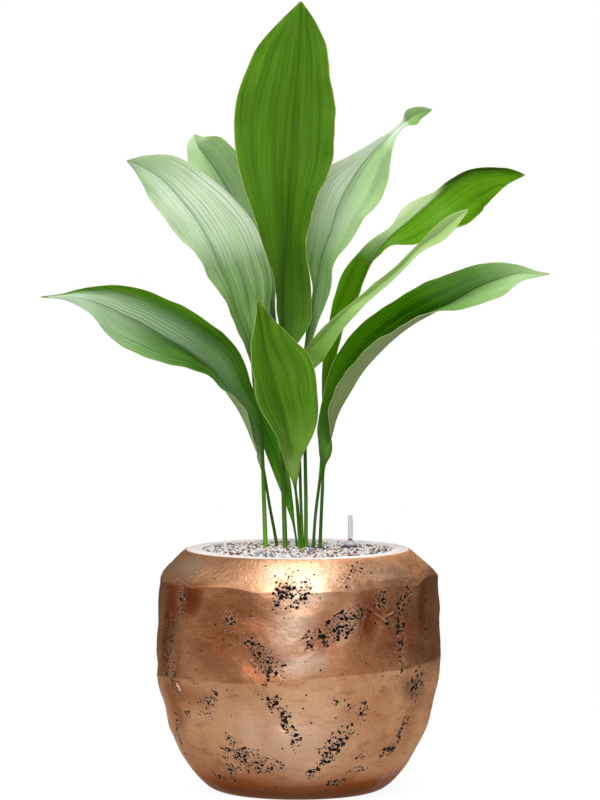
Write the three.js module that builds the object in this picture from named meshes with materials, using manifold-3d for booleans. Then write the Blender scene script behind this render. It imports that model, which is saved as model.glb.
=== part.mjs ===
import * as THREE from "three";
import Module from "manifold-3d";

// A cast iron plant in a round copper pot. Millimetres, +Z up, the front of the pot towards -Y.
// The origin is the middle of the pot's foot.

const wasm = await Module();
wasm.setup();

const plant = new THREE.Group();
plant.name = "potted_cast_iron_plant";

// Section: shared shapes.

// Adds one closed mesh under the given name.
function addPiece(name, geometry, colour, roughness, metalness) {
  const material = new THREE.MeshStandardMaterial({ color: colour, roughness, metalness });
  const mesh = new THREE.Mesh(geometry, material);
  mesh.name = name;
  plant.add(mesh);
}

// Joins rings of equally many points into one skin. With no end points the last ring meets the first.
// With twoFaced set, the second half of each ring is split into triangles as the mirror of the first,
// so that the two faces of a thin waved sheet run alongside each other.
function skin(rings, startPoint, endPoint, twoFaced = false) {
  const count = rings[0].length;
  const points = rings.flat();
  const faces = [];
  const rows = startPoint ? rings.length - 1 : rings.length;
  for (let row = 0; row < rows; row += 1) {
    const here = row * count;
    const next = ((row + 1) % rings.length) * count;
    for (let i = 0; i < count; i += 1) {
      const j = (i + 1) % count;
      if (twoFaced && i >= count / 2) {
        faces.push([here + i, here + j, next + i], [here + j, next + j, next + i]);
      } else {
        faces.push([here + i, here + j, next + j], [here + i, next + j, next + i]);
      }
    }
  }
  if (startPoint) {
    const last = (rings.length - 1) * count;
    points.push(startPoint, endPoint);
    for (let i = 0; i < count; i += 1) {
      const j = (i + 1) % count;
      faces.push([points.length - 2, j, i], [points.length - 1, last + i, last + j]);
    }
  }
  return outwardGeometry(points, faces);
}

// Makes the geometry and turns its faces outward.
function outwardGeometry(points, faces) {
  let volume = 0;
  for (const [a, b, c] of faces) {
    volume += points[a].dot(new THREE.Vector3().crossVectors(points[b], points[c]));
  }
  const ordered = volume > 0 ? faces : faces.map(([a, b, c]) => [a, c, b]);
  const geometry = new THREE.BufferGeometry();
  const coordinates = points.flatMap((point) => [point.x, point.y, point.z]);
  geometry.setAttribute("position", new THREE.Float32BufferAttribute(coordinates, 3));
  geometry.setIndex(ordered.flat());
  geometry.computeVertexNormals();
  return geometry;
}

// Turns an outline of [radius, height] about the upright line through x, y.
// Outlines that begin and end on the line give a solid, all others a ring.
// A reshape may give the point of a row and column another radius, height or angle.
function turned(outline, segments, x = 0, y = 0, reshape = () => ({})) {
  const onLine = outline[0][0] === 0;
  const sides = onLine ? outline.slice(1, -1) : outline;
  const rings = sides.map(([plainRadius, plainHeight], row) => {
    const ring = [];
    for (let column = 0; column < segments; column += 1) {
      const plain = {
        radius: plainRadius,
        height: plainHeight,
        angle: (column / segments) * 2 * Math.PI,
      };
      const { radius, height, angle } = { ...plain, ...reshape(plain, row, column) };
      ring.push(new THREE.Vector3(x + radius * Math.cos(angle), y + radius * Math.sin(angle), height));
    }
    return ring;
  });
  if (!onLine) {
    return skin(rings, null, null);
  }
  const lastRow = outline[outline.length - 1];
  return skin(rings, new THREE.Vector3(x, y, outline[0][1]), new THREE.Vector3(x, y, lastRow[1]));
}

function toManifold(geometry) {
  return new wasm.Manifold(new wasm.Mesh({
    numProp: 3,
    vertProperties: new Float32Array(geometry.attributes.position.array),
    triVerts: new Uint32Array(geometry.index.array),
  }));
}

function fromManifold(solid) {
  const mesh = solid.getMesh();
  const geometry = new THREE.BufferGeometry();
  geometry.setAttribute("position", new THREE.Float32BufferAttribute(mesh.vertProperties, 3));
  geometry.setIndex(Array.from(mesh.triVerts));
  geometry.computeVertexNormals();
  return geometry;
}

function smoothStep(value) {
  const part = Math.min(Math.max(value, 0), 1);
  return part * part * (3 - 2 * part);
}

// Section: pot.
// A hand formed shell in three loose tiers: a chamfer under the lip, an upright band and a belly.
// The tiers are cut into flats that meet in upright corners, and soft hammered dents run over all of them.
// The ridge over the band arches over each flat and dips at the front, the ridge under it climbs to the
// right, and the belly swells a little to that side.

const COLUMN_DEGREES = 6;
const RIM_HEIGHT = 287;
const RIM_OUTER_RADIUS = 131;
const RIM_INNER_RADIUS = 113;
const FOOT_RADIUS = 86;
const FLAT_STRENGTH = 0.8;
const FLAT_LEAN_DEGREES = 5;
const FLAT_LEAN_LENGTH = 60;
const DENT_DEPTH = 1.2;
const RIDGE_WAVE = 1.2;
const LOWER_RIDGE_HEIGHT = 150;
const LOWER_RIDGE_TILT = 11;
const LOWER_RIDGE_REACH = 60;
const UPPER_RIDGE_HEIGHT = 252;
const UPPER_RIDGE_REACH = 30;
const FRONT_DIP = 8;
const FRONT_DIP_PLACE = -5.5;
const FRONT_DIP_DEGREES = 7;
const SWELL = 4;
const SWELL_HEIGHT = 110;
const SWELL_REACH = 45;
const FOOT_FADE = 25;
const RIM_FADE = 30;

// Corners between the flats, in degrees to the right of the pot's front.
const FLAT_CORNERS = [-66, -52, -21, -9, 5, 20, 51, 84, 118, 152, 198, 236, 280, 294];

const POT_OUTSIDE = [
  [0, 0], [FOOT_RADIUS, 0], [96, 1.5], [104.5, 5], [113, 11], [122, 20], [132, 33], [143, 50],
  [152.5, 70], [160, 95], [165, 117], [169, 137], [171.5, LOWER_RIDGE_HEIGHT], [170.5, 163], [170, 194],
  [169, 222], [168.5, 240], [168, UPPER_RIDGE_HEIGHT], [160, 262], [149.5, 273], [140, 281],
  [134, 285.6], [RIM_OUTER_RADIUS, RIM_HEIGHT],
];

// Heights and radii of the inner wall, from the lip down. The fill follows the same wall.
const INNER_WALL = [
  [113, 270], [128, 260], [150, 238], [156, 200], [156, 160], [147, 100], [131, 55], [107, 20],
];
const INNER_FLOOR_HEIGHT = 17;
const POT_INSIDE = [[RIM_INNER_RADIUS, RIM_HEIGHT], [112, 283], ...INNER_WALL, [0, INNER_FLOOR_HEIGHT]];

// The upright columns of the pot's skin: each one's degrees to the right of the front, and its flatness,
// one at the corners and less between them, where a flat lies nearer the middle than the round.
const POT_COLUMNS = [];
for (let i = 0; i + 1 < FLAT_CORNERS.length; i += 1) {
  const half = (FLAT_CORNERS[i + 1] - FLAT_CORNERS[i]) / 2;
  const count = Math.ceil((2 * half) / COLUMN_DEGREES);
  for (let step = 0; step < count; step += 1) {
    const offMiddle = half * ((2 * step) / count - 1);
    const toRadians = Math.PI / 180;
    const chord = Math.cos(half * toRadians) / Math.cos(offMiddle * toRadians);
    POT_COLUMNS.push({
      degrees: FLAT_CORNERS[i] + half + offMiddle,
      flatness: 1 - FLAT_STRENGTH * (1 - chord),
    });
  }
}

// A soft hump of height one around the middle.
function hump(value, middle, reach) {
  return Math.exp(-(((value - middle) / reach) ** 2));
}

function potSkin({ radius, height }, row, column) {
  const { degrees, flatness } = POT_COLUMNS[column];
  const outside = row > 0 && row < POT_OUTSIDE.length - 1;
  const fade = smoothStep(height / FOOT_FADE) * smoothStep((RIM_HEIGHT - height) / RIM_FADE);
  const free = outside ? fade : 0;
  const lean = FLAT_LEAN_DEGREES * Math.sin(height / FLAT_LEAN_LENGTH) * free;
  const angle = ((degrees - lean - 90) * Math.PI) / 180;
  const flat = 1 + (flatness - 1) * free;
  const dents = Math.sin(7 * angle + height / 19) * Math.cos(height / 13 + 2 * Math.sin(3 * angle));
  const wave = Math.sin(2 * angle + 0.8) + Math.sin(5 * angle + height / 90);
  const tilt = Math.cos(angle) * hump(height, LOWER_RIDGE_HEIGHT, LOWER_RIDGE_REACH);
  const arch = radius * (1 - flat) * hump(height, UPPER_RIDGE_HEIGHT, UPPER_RIDGE_REACH);
  const dip = hump(degrees, FRONT_DIP_PLACE, FRONT_DIP_DEGREES) * hump(height, UPPER_RIDGE_HEIGHT, UPPER_RIDGE_REACH);
  const swell = Math.cos(angle) * hump(height, SWELL_HEIGHT, SWELL_REACH);
  const lift = RIDGE_WAVE * wave + LOWER_RIDGE_TILT * tilt + arch - FRONT_DIP * dip;
  return {
    radius: radius * flat + (DENT_DEPTH * dents + SWELL * swell) * free,
    height: height + lift * free,
    angle,
  };
}

addPiece(
  "pot", turned([...POT_OUTSIDE, ...POT_INSIDE], POT_COLUMNS.length, 0, 0, potSkin), 0x9a6238, 0.45, 0.6,
);

// Section: places of the stalks and the gauge in the granulate.

const SURFACE_HEIGHT = 284.2;
const STALK_END_HEIGHT = 273;
const HOLE_FLOOR_HEIGHT = 271.5;
const HOLE_CLEARANCE = 0.9;
const CUTTER_TOP_HEIGHT = 292;

const GAUGE_X = 63;
const GAUGE_Y = 35;

// Section: leaves.
// Each leaf is a blade and its stalk in one piece. The halves of a blade are tilted up from the midrib,
// so that it is a channel near the stalk and opens towards the tip.
// Stalk places are [x, y, z, radius].
// Blade places are [x, y, z, left width, left tilt, right width, right tilt]: the place on the midrib, then
// the width of each half and its tilt towards the viewer in degrees, ninety being edge on.

const SEGMENTS_PER_HALF = 3;
const STALK_STEPS = 4;
const BLADE_HALF_THICKNESS = 0.45;
const RIB_HALF_THICKNESS_AT_STALK = 2.2;
const RIB_HALF_THICKNESS_AT_TIP = 0.7;
const TIP_HALF_WIDTH = 0.6;
const HALF_ARCH_DEGREES = 12;
const WAVE_HEIGHT = 1.6;
const WAVE_LENGTH = 72;
const STALK_TO_BLADE = 45;
const FULL_WAVE_WIDTH = 30;
const FULL_TILT_WIDTH = 6;
const TANGENT_REACH = 0.5;

const LEAVES = {
  leaf_tall: {
    colour: 0x4f8a16,
    steps: 23,
    stalk: [[-15, 30, 288, 2.7], [-18, 26, 402, 2.4], [-19, 25, 462, 2.4]],
    blade: [
      [-18, 25, 507, 9, 60, 9, 50], [-17, 25, 553, 28, 80, 33, 14], [-16, 26, 585, 33, 73, 34, 20],
      [-14, 29, 628, 38, 56, 37, 45], [-13, 31, 652, 44, 44, 41, 56], [-11, 36, 691, 54, 30, 53, 53],
      [-8, 42, 739, 66, 14, 66, 44], [-6, 48, 772, 71, 12, 71, 45], [-4, 54, 808, 71, 12, 68, 46],
      [0, 60, 844, 63, 12, 59, 49], [3, 66, 879, 50, 10, 46, 50], [4, 71, 910, 26, 10, 26, 50],
    ],
    tip: [4, 75, 935],
  },
  leaf_back_left: {
    colour: 0x7f9c78,
    steps: 22,
    stalk: [[-14, 66, 288, 2.1], [-18, 70, 387, 2], [-23, 76, 483, 2.4]],
    blade: [
      [-25, 80, 530, 17, 60, 6, 66], [-33, 88, 578, 33, 45, 9, 45], [-44, 97, 624, 45, 30, 28, 35],
      [-62, 105, 668, 52, 25, 45, 35], [-79, 114, 702, 52, 25, 47, 40], [-96, 122, 730, 42, 28, 48, 46],
      [-110, 129, 749, 28, 35, 40, 42], [-120, 134, 762, 17, 40, 21, 38], [-123.5, 138, 771, 7, 20, 9, 20],
    ],
    tip: [-124, 140, 776],
  },
  leaf_upper_left: {
    colour: 0x8fb078,
    steps: 23,
    stalk: [[-38, 22, 288, 2.7], [-40, 14, 350, 2.4], [-42, 4, 410, 2.1], [-46, -8, 458, 2.4]],
    blade: [
      [-50, -18, 500, 9, 65, 9, 50], [-57, -27, 534, 19, 70, 24, 20], [-70, -34, 567, 26, 76, 40, 10],
      [-79, -41, 597, 31, 68, 51, 10], [-87, -45, 615, 33, 64, 55, 10], [-100, -53, 646, 35, 58, 57, 8],
      [-116, -62, 675, 37, 45, 52, 8], [-130, -70, 695, 37, 40, 45, 10], [-159, -86, 727, 28, 25, 33, 10],
      [-182, -97, 741, 12, 20, 14, 10],
    ],
    tip: [-197, -104, 747],
  },
  leaf_lower_left: {
    colour: 0x5f8f3c,
    steps: 25,
    stalk: [[-25, 44, 288, 1.9], [-33, 40, 333, 1.8], [-39, 36, 369, 1.9]],
    blade: [
      [-46, 33, 396, 5, 90, 5, 30], [-54, 31, 416, 14, 100, 14, 20], [-62, 28, 435, 24, 102, 21, 20],
      [-72, 24, 454, 31, 102, 28, 22], [-85, 19, 473, 37, 100, 35, 22], [-100, 12, 497, 41, 82, 41, 20],
      [-118, 4, 511, 45, 80, 46, 16], [-133, -3, 523, 46, 75, 46, 18], [-163, -17, 542, 45, 52, 46, 18],
      [-185, -27, 556, 41, 38, 42, 18], [-201, -34, 564, 35, 25, 39, 15], [-222, -42, 575, 26, 18, 30, 12],
      [-240, -49, 582, 15, 20, 20, 10], [-260, -56, 587, 8, 10, 9, 0], [-275, -61, 588, 3.5, 0, 3.5, 0],
    ],
    tip: [-299, -68, 588],
  },
  leaf_upper_right: {
    colour: 0x93b86a,
    steps: 23,
    stalk: [[10, 31, 288, 2.4], [10, 32, 343, 2.2], [9, 34, 406, 2.1], [9, 37, 461, 2.3]],
    blade: [
      [11, 42, 520, 7, 60, 7, 50], [15, 48, 553, 11, 70, 13, 40], [20, 54, 582, 14, 76, 18, 30],
      [24, 58, 601, 20, 62, 20, 35], [27, 63, 620, 25, 46, 21, 42], [32, 68, 639, 31, 40, 27, 40],
      [40, 75, 661, 37, 32, 34, 36], [47, 82, 686, 42, 30, 42, 30], [56, 89, 706, 46, 32, 47, 28],
      [68, 97, 727, 44, 56, 45, 28], [82, 105, 746, 39, 70, 39, 34], [100, 113, 765, 28, 76, 26, 52],
      [116, 119, 779, 15, 80, 13, 68], [127, 123, 789, 7, 60, 7, 50], [136, 126, 796, 11, 20, 12, 25],
      [145, 129, 801, 9, 15, 8, 20], [154, 131, 804, 5.5, 10, 4.5, 10],
    ],
    tip: [162, 134, 806],
  },
  leaf_right: {
    colour: 0x4c8417,
    steps: 22,
    stalk: [[19, 11, 288, 1.9], [20.5, 18, 315, 1.8], [22.5, 22, 335, 1.8], [27, 25, 370, 1.9]],
    blade: [
      [30, 28, 400, 3, 30, 3, 30], [33, 31, 438, 8, 60, 8, 70], [37, 34, 476, 14, 60, 14, 80],
      [43, 38, 511, 20, 50, 20, 86], [53, 42, 544, 26, 48, 26, 88], [65, 45, 573, 32, 42, 32, 90],
      [77, 49, 600, 38, 45, 38, 90], [89, 53, 625, 41, 62, 42, 88], [102, 56, 644, 42, 69, 47, 84],
      [116, 59, 660, 47, 79, 50, 60], [134, 62, 675, 47, 71, 52, 52], [151, 65, 690, 47, 74, 53, 42],
      [168, 68, 706, 45, 86, 54, 22], [187, 71, 723, 40, 90, 52, 10], [206, 73, 733, 35, 88, 49, 10],
      [225, 75, 736, 28, 88, 43, 10], [242, 76, 735, 18, 85, 31, 12], [256, 77, 732, 9, 80, 15, 15],
    ],
    tip: [272, 78, 728],
  },
  leaf_right_front: {
    colour: 0x86b052,
    steps: 22,
    stalk: [[6, 20, 288, 1.9], [4, 18, 342, 1.8], [3, 14, 378, 1.8], [2, 8, 427, 1.9]],
    blade: [
      [2, 0, 469, 3, 20, 3, 20], [5, -9, 497, 9, 60, 12, 40], [12, -18, 521, 17, 80, 21, 12],
      [28, -28, 539, 21, 72, 24, 45], [46, -38, 560, 24, 80, 25, 60], [65, -49, 578, 26, 88, 26, 66],
      [91, -62, 598, 26, 78, 26, 76], [119, -78, 623, 25, 80, 25, 78], [142, -94, 647, 21, 80, 21, 76],
      [165, -106, 665, 17, 60, 17, 54], [182, -116, 680, 11, 50, 11, 45],
    ],
    tip: [197, -126, 691],
  },
  leaf_young: {
    colour: 0x6d9c2e,
    steps: 20,
    stalk: [[3, 8, 288, 2.2], [0, 3, 336, 2], [-3, -2, 364, 2.4]],
    blade: [
      [-5, -9, 389, 12, 45, 9, 45], [-11, -20, 424, 30, 70, 32, 5], [-15, -27, 444, 39, 66, 41, 5],
      [-21, -35, 463, 44, 63, 46, 5], [-30, -48, 496, 47, 61, 50, 0], [-37, -59, 521, 42, 62, 42, 0],
      [-41, -69, 545, 30, 64, 28, 5], [-44, -78, 566, 13, 64, 12, 10],
    ],
    tip: [-46, -86, 584],
  },
  leaf_lower_right: {
    colour: 0x55861f,
    steps: 25,
    stalk: [[27, 21, 288, 2.1], [28, 17, 320, 2], [29.5, 15, 353, 2], [31, 14, 384, 2.3]],
    blade: [
      [33, 13, 398, 8, 40, 6, 70], [40, 9, 422, 19, 30, 17, 90], [48, 4, 448, 25, 28, 28, 116],
      [60, 0, 470, 33, 26, 35, 116], [77, -6, 498, 40, 25, 41, 115], [96, -13, 520, 44, 25, 44, 110],
      [116, -20, 539, 44, 30, 44, 105], [137, -28, 555, 45, 34, 44, 102], [158, -36, 567, 45, 34, 42, 97],
      [180, -43, 580, 41, 30, 39, 86], [208, -52, 597, 32, 25, 33, 60], [236, -61, 609, 22, 20, 24, 35],
      [259, -67, 615, 11, 10, 11, 30], [278, -72, 615, 4, 10, 4.5, 20],
    ],
    tip: [293, -76, 615],
  },
  leaf_inner: {
    colour: 0x4f8d22,
    steps: 12,
    stalk: [[-1, 46, 288, 1.2], [-4, 50, 309, 1.5]],
    blade: [
      [-7, 53, 324, 3, 30, 3, 30], [-14, 58, 354, 8, 30, 8, 30], [-23, 63, 383, 11, 30, 12, 30],
      [-32, 67, 411, 12, 30, 13, 25], [-39, 70, 431, 7, 20, 7, 20],
    ],
    tip: [-43, 72, 447],
  },
};

// Reads all columns of the places at one distance along the leaf, on a smooth curve through them.
function readPlaces(places, distances, distance) {
  const last = places.length - 1;
  const slope = (row, column) => {
    const before = Math.max(row - 1, 0);
    const after = Math.min(row + 1, last);
    return (places[after][column] - places[before][column]) / (distances[after] - distances[before]);
  };
  let row = 0;
  while (row < last - 1 && distances[row + 1] < distance) {
    row += 1;
  }
  const span = distances[row + 1] - distances[row];
  const u = (distance - distances[row]) / span;
  return places[row].map((value, column) => {
    const next = places[row + 1][column];
    const rise = smoothStep(u) * (next - value);
    const leave = u * (1 - u) * (1 - u) * span * slope(row, column);
    const arrive = u * u * (u - 1) * span * slope(row + 1, column);
    return value + rise + leave + arrive;
  });
}

// The points from one margin of the blade to the other, as [sideways, towards the viewer].
function acrossBlade(values, distance, blade) {
  const [, , , leftWidth, leftTilt, rightWidth, rightTilt] = values;
  const points = [[0, 0]];
  for (const [direction, width, tilt] of [[-1, leftWidth, leftTilt], [1, rightWidth, rightTilt]]) {
    let sideways = 0;
    let forward = 0;
    const fullTilt = tilt * Math.min(width / FULL_TILT_WIDTH, 1);
    for (let i = 1; i <= SEGMENTS_PER_HALF; i += 1) {
      const middle = (i - 0.5) / SEGMENTS_PER_HALF;
      const angle = ((fullTilt - HALF_ARCH_DEGREES * (middle - 0.5)) * Math.PI) / 180;
      sideways += (direction * width * Math.cos(angle)) / SEGMENTS_PER_HALF;
      forward += (width * Math.sin(angle)) / SEGMENTS_PER_HALF;
      const edge = i / SEGMENTS_PER_HALF;
      const wave = Math.sin((distance / WAVE_LENGTH) * 2 * Math.PI + 2 * direction) * edge ** 3;
      const lift = blade * WAVE_HEIGHT * wave * Math.min(width / FULL_WAVE_WIDTH, 1);
      const point = [sideways - direction * lift * Math.sin(angle), forward + lift * Math.cos(angle)];
      if (direction < 0) {
        points.unshift(point);
      } else {
        points.push(point);
      }
    }
  }
  return points;
}

// The direction from one point of a section to another, with no length between a point and itself.
function directionTo(from, to) {
  const length = Math.hypot(to[0] - from[0], to[1] - from[1]) || 1;
  return [(to[0] - from[0]) / length, (to[1] - from[1]) / length];
}

// One closed ring around the leaf: round on the stalk, thin and folded on the blade.
function leafRing(values, tangent, distance, blade, along) {
  const centre = new THREE.Vector3(values[0], values[1], values[2]);
  const side = new THREE.Vector3(0, 1, 0).cross(tangent).normalize();
  const front = new THREE.Vector3().crossVectors(side, tangent);
  const across = acrossBlade(values, distance, blade);
  const last = across.length - 1;
  const middle = last / 2;
  const radius = values[3];
  const ribHalf = THREE.MathUtils.lerp(RIB_HALF_THICKNESS_AT_STALK, RIB_HALF_THICKNESS_AT_TIP, along);
  const upper = [];
  const lower = [];
  across.forEach(([sideways, forward], i) => {
    const arriving = directionTo(across[Math.max(i - 1, 0)], across[i]);
    const leaving = directionTo(across[i], across[Math.min(i + 1, last)]);
    const length = Math.hypot(arriving[0] + leaving[0], arriving[1] + leaving[1]);
    const normal = [-(arriving[1] + leaving[1]) / length, (arriving[0] + leaving[0]) / length];
    const under = i === middle ? ribHalf : BLADE_HALF_THICKNESS;
    const roundAngle = (Math.PI * (i + 0.5)) / (last + 1);
    const roundSide = -Math.cos(roundAngle) * radius;
    const roundFront = Math.sin(roundAngle) * radius;
    const place = (alongSide, alongFront) => centre.clone()
      .addScaledVector(side, alongSide)
      .addScaledVector(front, alongFront);
    upper.push(place(
      THREE.MathUtils.lerp(roundSide, sideways + normal[0] * BLADE_HALF_THICKNESS, blade),
      THREE.MathUtils.lerp(roundFront, forward + normal[1] * BLADE_HALF_THICKNESS, blade),
    ));
    lower.unshift(place(
      THREE.MathUtils.lerp(roundSide, sideways - normal[0] * under, blade),
      THREE.MathUtils.lerp(-roundFront, forward - normal[1] * under, blade),
    ));
  });
  return [...upper, ...lower];
}

function leafGeometry({ stalk, blade, tip, steps }) {
  const foot = stalk[0];
  const lastBlade = blade[blade.length - 1];
  const places = [
    [foot[0], foot[1], STALK_END_HEIGHT, foot[3], 0, foot[3], 0],
    ...stalk.map(([x, y, z, radius]) => [x, y, z, radius, 0, radius, 0]),
    ...blade,
    [...tip, TIP_HALF_WIDTH, lastBlade[4], TIP_HALF_WIDTH, lastBlade[6]],
  ];
  const distances = [0];
  for (let i = 1; i < places.length; i += 1) {
    const [x, y, z] = places[i];
    const [fromX, fromY, fromZ] = places[i - 1];
    distances.push(distances[i - 1] + Math.hypot(x - fromX, y - fromY, z - fromZ));
  }
  const bladeStart = distances[stalk.length];
  const end = distances[distances.length - 1];
  const surface = distances[1];
  const stops = [0];
  for (let i = 0; i < STALK_STEPS; i += 1) {
    stops.push(surface + ((bladeStart - surface) * i) / STALK_STEPS);
  }
  for (let i = 0; i <= steps; i += 1) {
    stops.push(bladeStart + ((end - bladeStart) * i) / steps);
  }
  const rings = stops.map((distance) => {
    const before = readPlaces(places, distances, Math.max(distance - TANGENT_REACH, 0));
    const after = readPlaces(places, distances, Math.min(distance + TANGENT_REACH, end));
    const tangent = new THREE.Vector3(after[0] - before[0], after[1] - before[1], after[2] - before[2]);
    const bladeShare = smoothStep((distance - bladeStart) / STALK_TO_BLADE);
    const along = Math.max(distance - bladeStart, 0) / (end - bladeStart);
    const values = readPlaces(places, distances, distance);
    return leafRing(values, tangent.normalize(), distance, bladeShare, along);
  });
  const centreOf = (ring) => ring.reduce((sum, point) => sum.add(point), new THREE.Vector3())
    .divideScalar(ring.length);
  return skin(rings, centreOf(rings[0]), centreOf(rings[rings.length - 1]), true);
}

for (const [name, leaf] of Object.entries(LEAVES)) {
  addPiece(name, leafGeometry(leaf), leaf.colour, 0.5, 0);
}

// Section: granulate.
// The fill of the pot: coarse gravel with a pebbled surface, plain holes for the stalks and a well for
// the gauge.

const GRANULATE_SEGMENTS = 48;
const GRANULATE_GAP = 0.6;
const PEBBLE_RELIEF = 1.1;
const SURFACE_RADII = [8, 18, 28, 38, 48, 58, 68, 78, 88, 98, 107];
const WELL_RADIUS = 7;
const WELL_FLOOR_HEIGHT = 225;
const HOLE_SEGMENTS = 10;

const granulateOutline = [
  [0, INNER_FLOOR_HEIGHT + GRANULATE_GAP],
  ...INNER_WALL.toReversed().map(([radius, height]) => [radius - GRANULATE_GAP, height]),
  [112 - GRANULATE_GAP, 283],
  ...SURFACE_RADII.toReversed().map((radius) => [radius, SURFACE_HEIGHT]),
  [0, SURFACE_HEIGHT],
];

function pebbleRelief({ radius, height, angle }) {
  if (height !== SURFACE_HEIGHT) {
    return {};
  }
  const x = radius * Math.cos(angle);
  const y = radius * Math.sin(angle);
  const bumps = Math.sin(x * 0.83 + 1.7 * Math.sin(y * 0.41)) * Math.sin(y * 0.77 + 1.3 * Math.sin(x * 0.37));
  return { height: height + PEBBLE_RELIEF * bumps };
}

function cutter(x, y, radius, floorHeight) {
  const top = CUTTER_TOP_HEIGHT;
  const outline = [[0, floorHeight], [radius, floorHeight], [radius, top], [0, top]];
  return toManifold(turned(outline, HOLE_SEGMENTS, x, y));
}

let granulate = toManifold(turned(granulateOutline, GRANULATE_SEGMENTS, 0, 0, pebbleRelief));
for (const { stalk } of Object.values(LEAVES)) {
  const [x, y, , radius] = stalk[0];
  granulate = granulate.subtract(cutter(x, y, radius + HOLE_CLEARANCE, HOLE_FLOOR_HEIGHT));
}
granulate = granulate.subtract(cutter(GAUGE_X, GAUGE_Y, WELL_RADIUS, WELL_FLOOR_HEIGHT));
addPiece("granulate", fromManifold(granulate), 0xc9bdb0, 0.9, 0);

// Section: water level gauge.
// A grey cap and guide tube stand in the granulate. A clear window tube, closed above, stands on a ledge
// in the cap. The float slides in the guide and carries a rod whose red tip shows in the window.

const GAUGE_SEGMENTS = 20;
const WINDOW_OUTER_RADIUS = 2.8;
const WINDOW_INNER_RADIUS = 2.1;
const WINDOW_TOP_HEIGHT = 323.5;
const LEDGE_HEIGHT = 289.5;
const FIT_GAP = 0.3;
const CAP_RADIUS = 7.9;
const CAP_BOTTOM_HEIGHT = 285.8;
const CAP_TOP_HEIGHT = 293.4;
const GUIDE_OUTER_RADIUS = 6.2;
const GUIDE_INNER_RADIUS = 5.2;
const GUIDE_BOTTOM_HEIGHT = 227;
const GUIDE_STOP_RADIUS = 3;
const LEDGE_BORE_RADIUS = 1.9;
const FLOAT_RADIUS = 4.7;
const FLOAT_BOTTOM_HEIGHT = GUIDE_BOTTOM_HEIGHT + 2 + FIT_GAP;
const FLOAT_TOP_HEIGHT = 262;
const ROD_RADIUS = 1.1;
const TIP_RADIUS = 1.6;
const TIP_TOP_HEIGHT = 295.5;

addPiece("gauge_body", turned([
  [GUIDE_STOP_RADIUS, GUIDE_BOTTOM_HEIGHT], [GUIDE_OUTER_RADIUS, GUIDE_BOTTOM_HEIGHT],
  [GUIDE_OUTER_RADIUS, CAP_BOTTOM_HEIGHT], [CAP_RADIUS, CAP_BOTTOM_HEIGHT],
  [CAP_RADIUS, CAP_BOTTOM_HEIGHT + 1.6], [CAP_RADIUS - 1.2, CAP_BOTTOM_HEIGHT + 4.4],
  [CAP_RADIUS - 3.2, CAP_TOP_HEIGHT - 0.6], [WINDOW_OUTER_RADIUS + 1.2, CAP_TOP_HEIGHT],
  [WINDOW_OUTER_RADIUS + FIT_GAP, CAP_TOP_HEIGHT], [WINDOW_OUTER_RADIUS + FIT_GAP, LEDGE_HEIGHT],
  [LEDGE_BORE_RADIUS, LEDGE_HEIGHT], [LEDGE_BORE_RADIUS, LEDGE_HEIGHT - 2],
  [GUIDE_INNER_RADIUS, LEDGE_HEIGHT - 4], [GUIDE_INNER_RADIUS, GUIDE_BOTTOM_HEIGHT + 2],
  [GUIDE_STOP_RADIUS, GUIDE_BOTTOM_HEIGHT + 2],
], GAUGE_SEGMENTS, GAUGE_X, GAUGE_Y), 0x8c8f93, 0.5, 0);

addPiece("gauge_window", turned([
  [0, WINDOW_TOP_HEIGHT], [WINDOW_OUTER_RADIUS - 0.8, WINDOW_TOP_HEIGHT],
  [WINDOW_OUTER_RADIUS, WINDOW_TOP_HEIGHT - 1], [WINDOW_OUTER_RADIUS, LEDGE_HEIGHT + FIT_GAP],
  [WINDOW_INNER_RADIUS, LEDGE_HEIGHT + FIT_GAP], [WINDOW_INNER_RADIUS, WINDOW_TOP_HEIGHT - 1.8],
  [0, WINDOW_TOP_HEIGHT - 1.8],
], GAUGE_SEGMENTS, GAUGE_X, GAUGE_Y), 0xd8dde0, 0.2, 0);

addPiece("gauge_float", turned([
  [0, FLOAT_BOTTOM_HEIGHT], [FLOAT_RADIUS - 1, FLOAT_BOTTOM_HEIGHT], [FLOAT_RADIUS, FLOAT_BOTTOM_HEIGHT + 1],
  [FLOAT_RADIUS, FLOAT_TOP_HEIGHT - 1], [FLOAT_RADIUS - 1, FLOAT_TOP_HEIGHT], [ROD_RADIUS, FLOAT_TOP_HEIGHT],
  [ROD_RADIUS, TIP_TOP_HEIGHT - 3], [TIP_RADIUS, TIP_TOP_HEIGHT - 2.6], [TIP_RADIUS, TIP_TOP_HEIGHT - 0.6],
  [TIP_RADIUS - 0.6, TIP_TOP_HEIGHT], [0, TIP_TOP_HEIGHT],
], GAUGE_SEGMENTS, GAUGE_X, GAUGE_Y), 0xc8342a, 0.5, 0);

export default plant;
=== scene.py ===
import math

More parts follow.
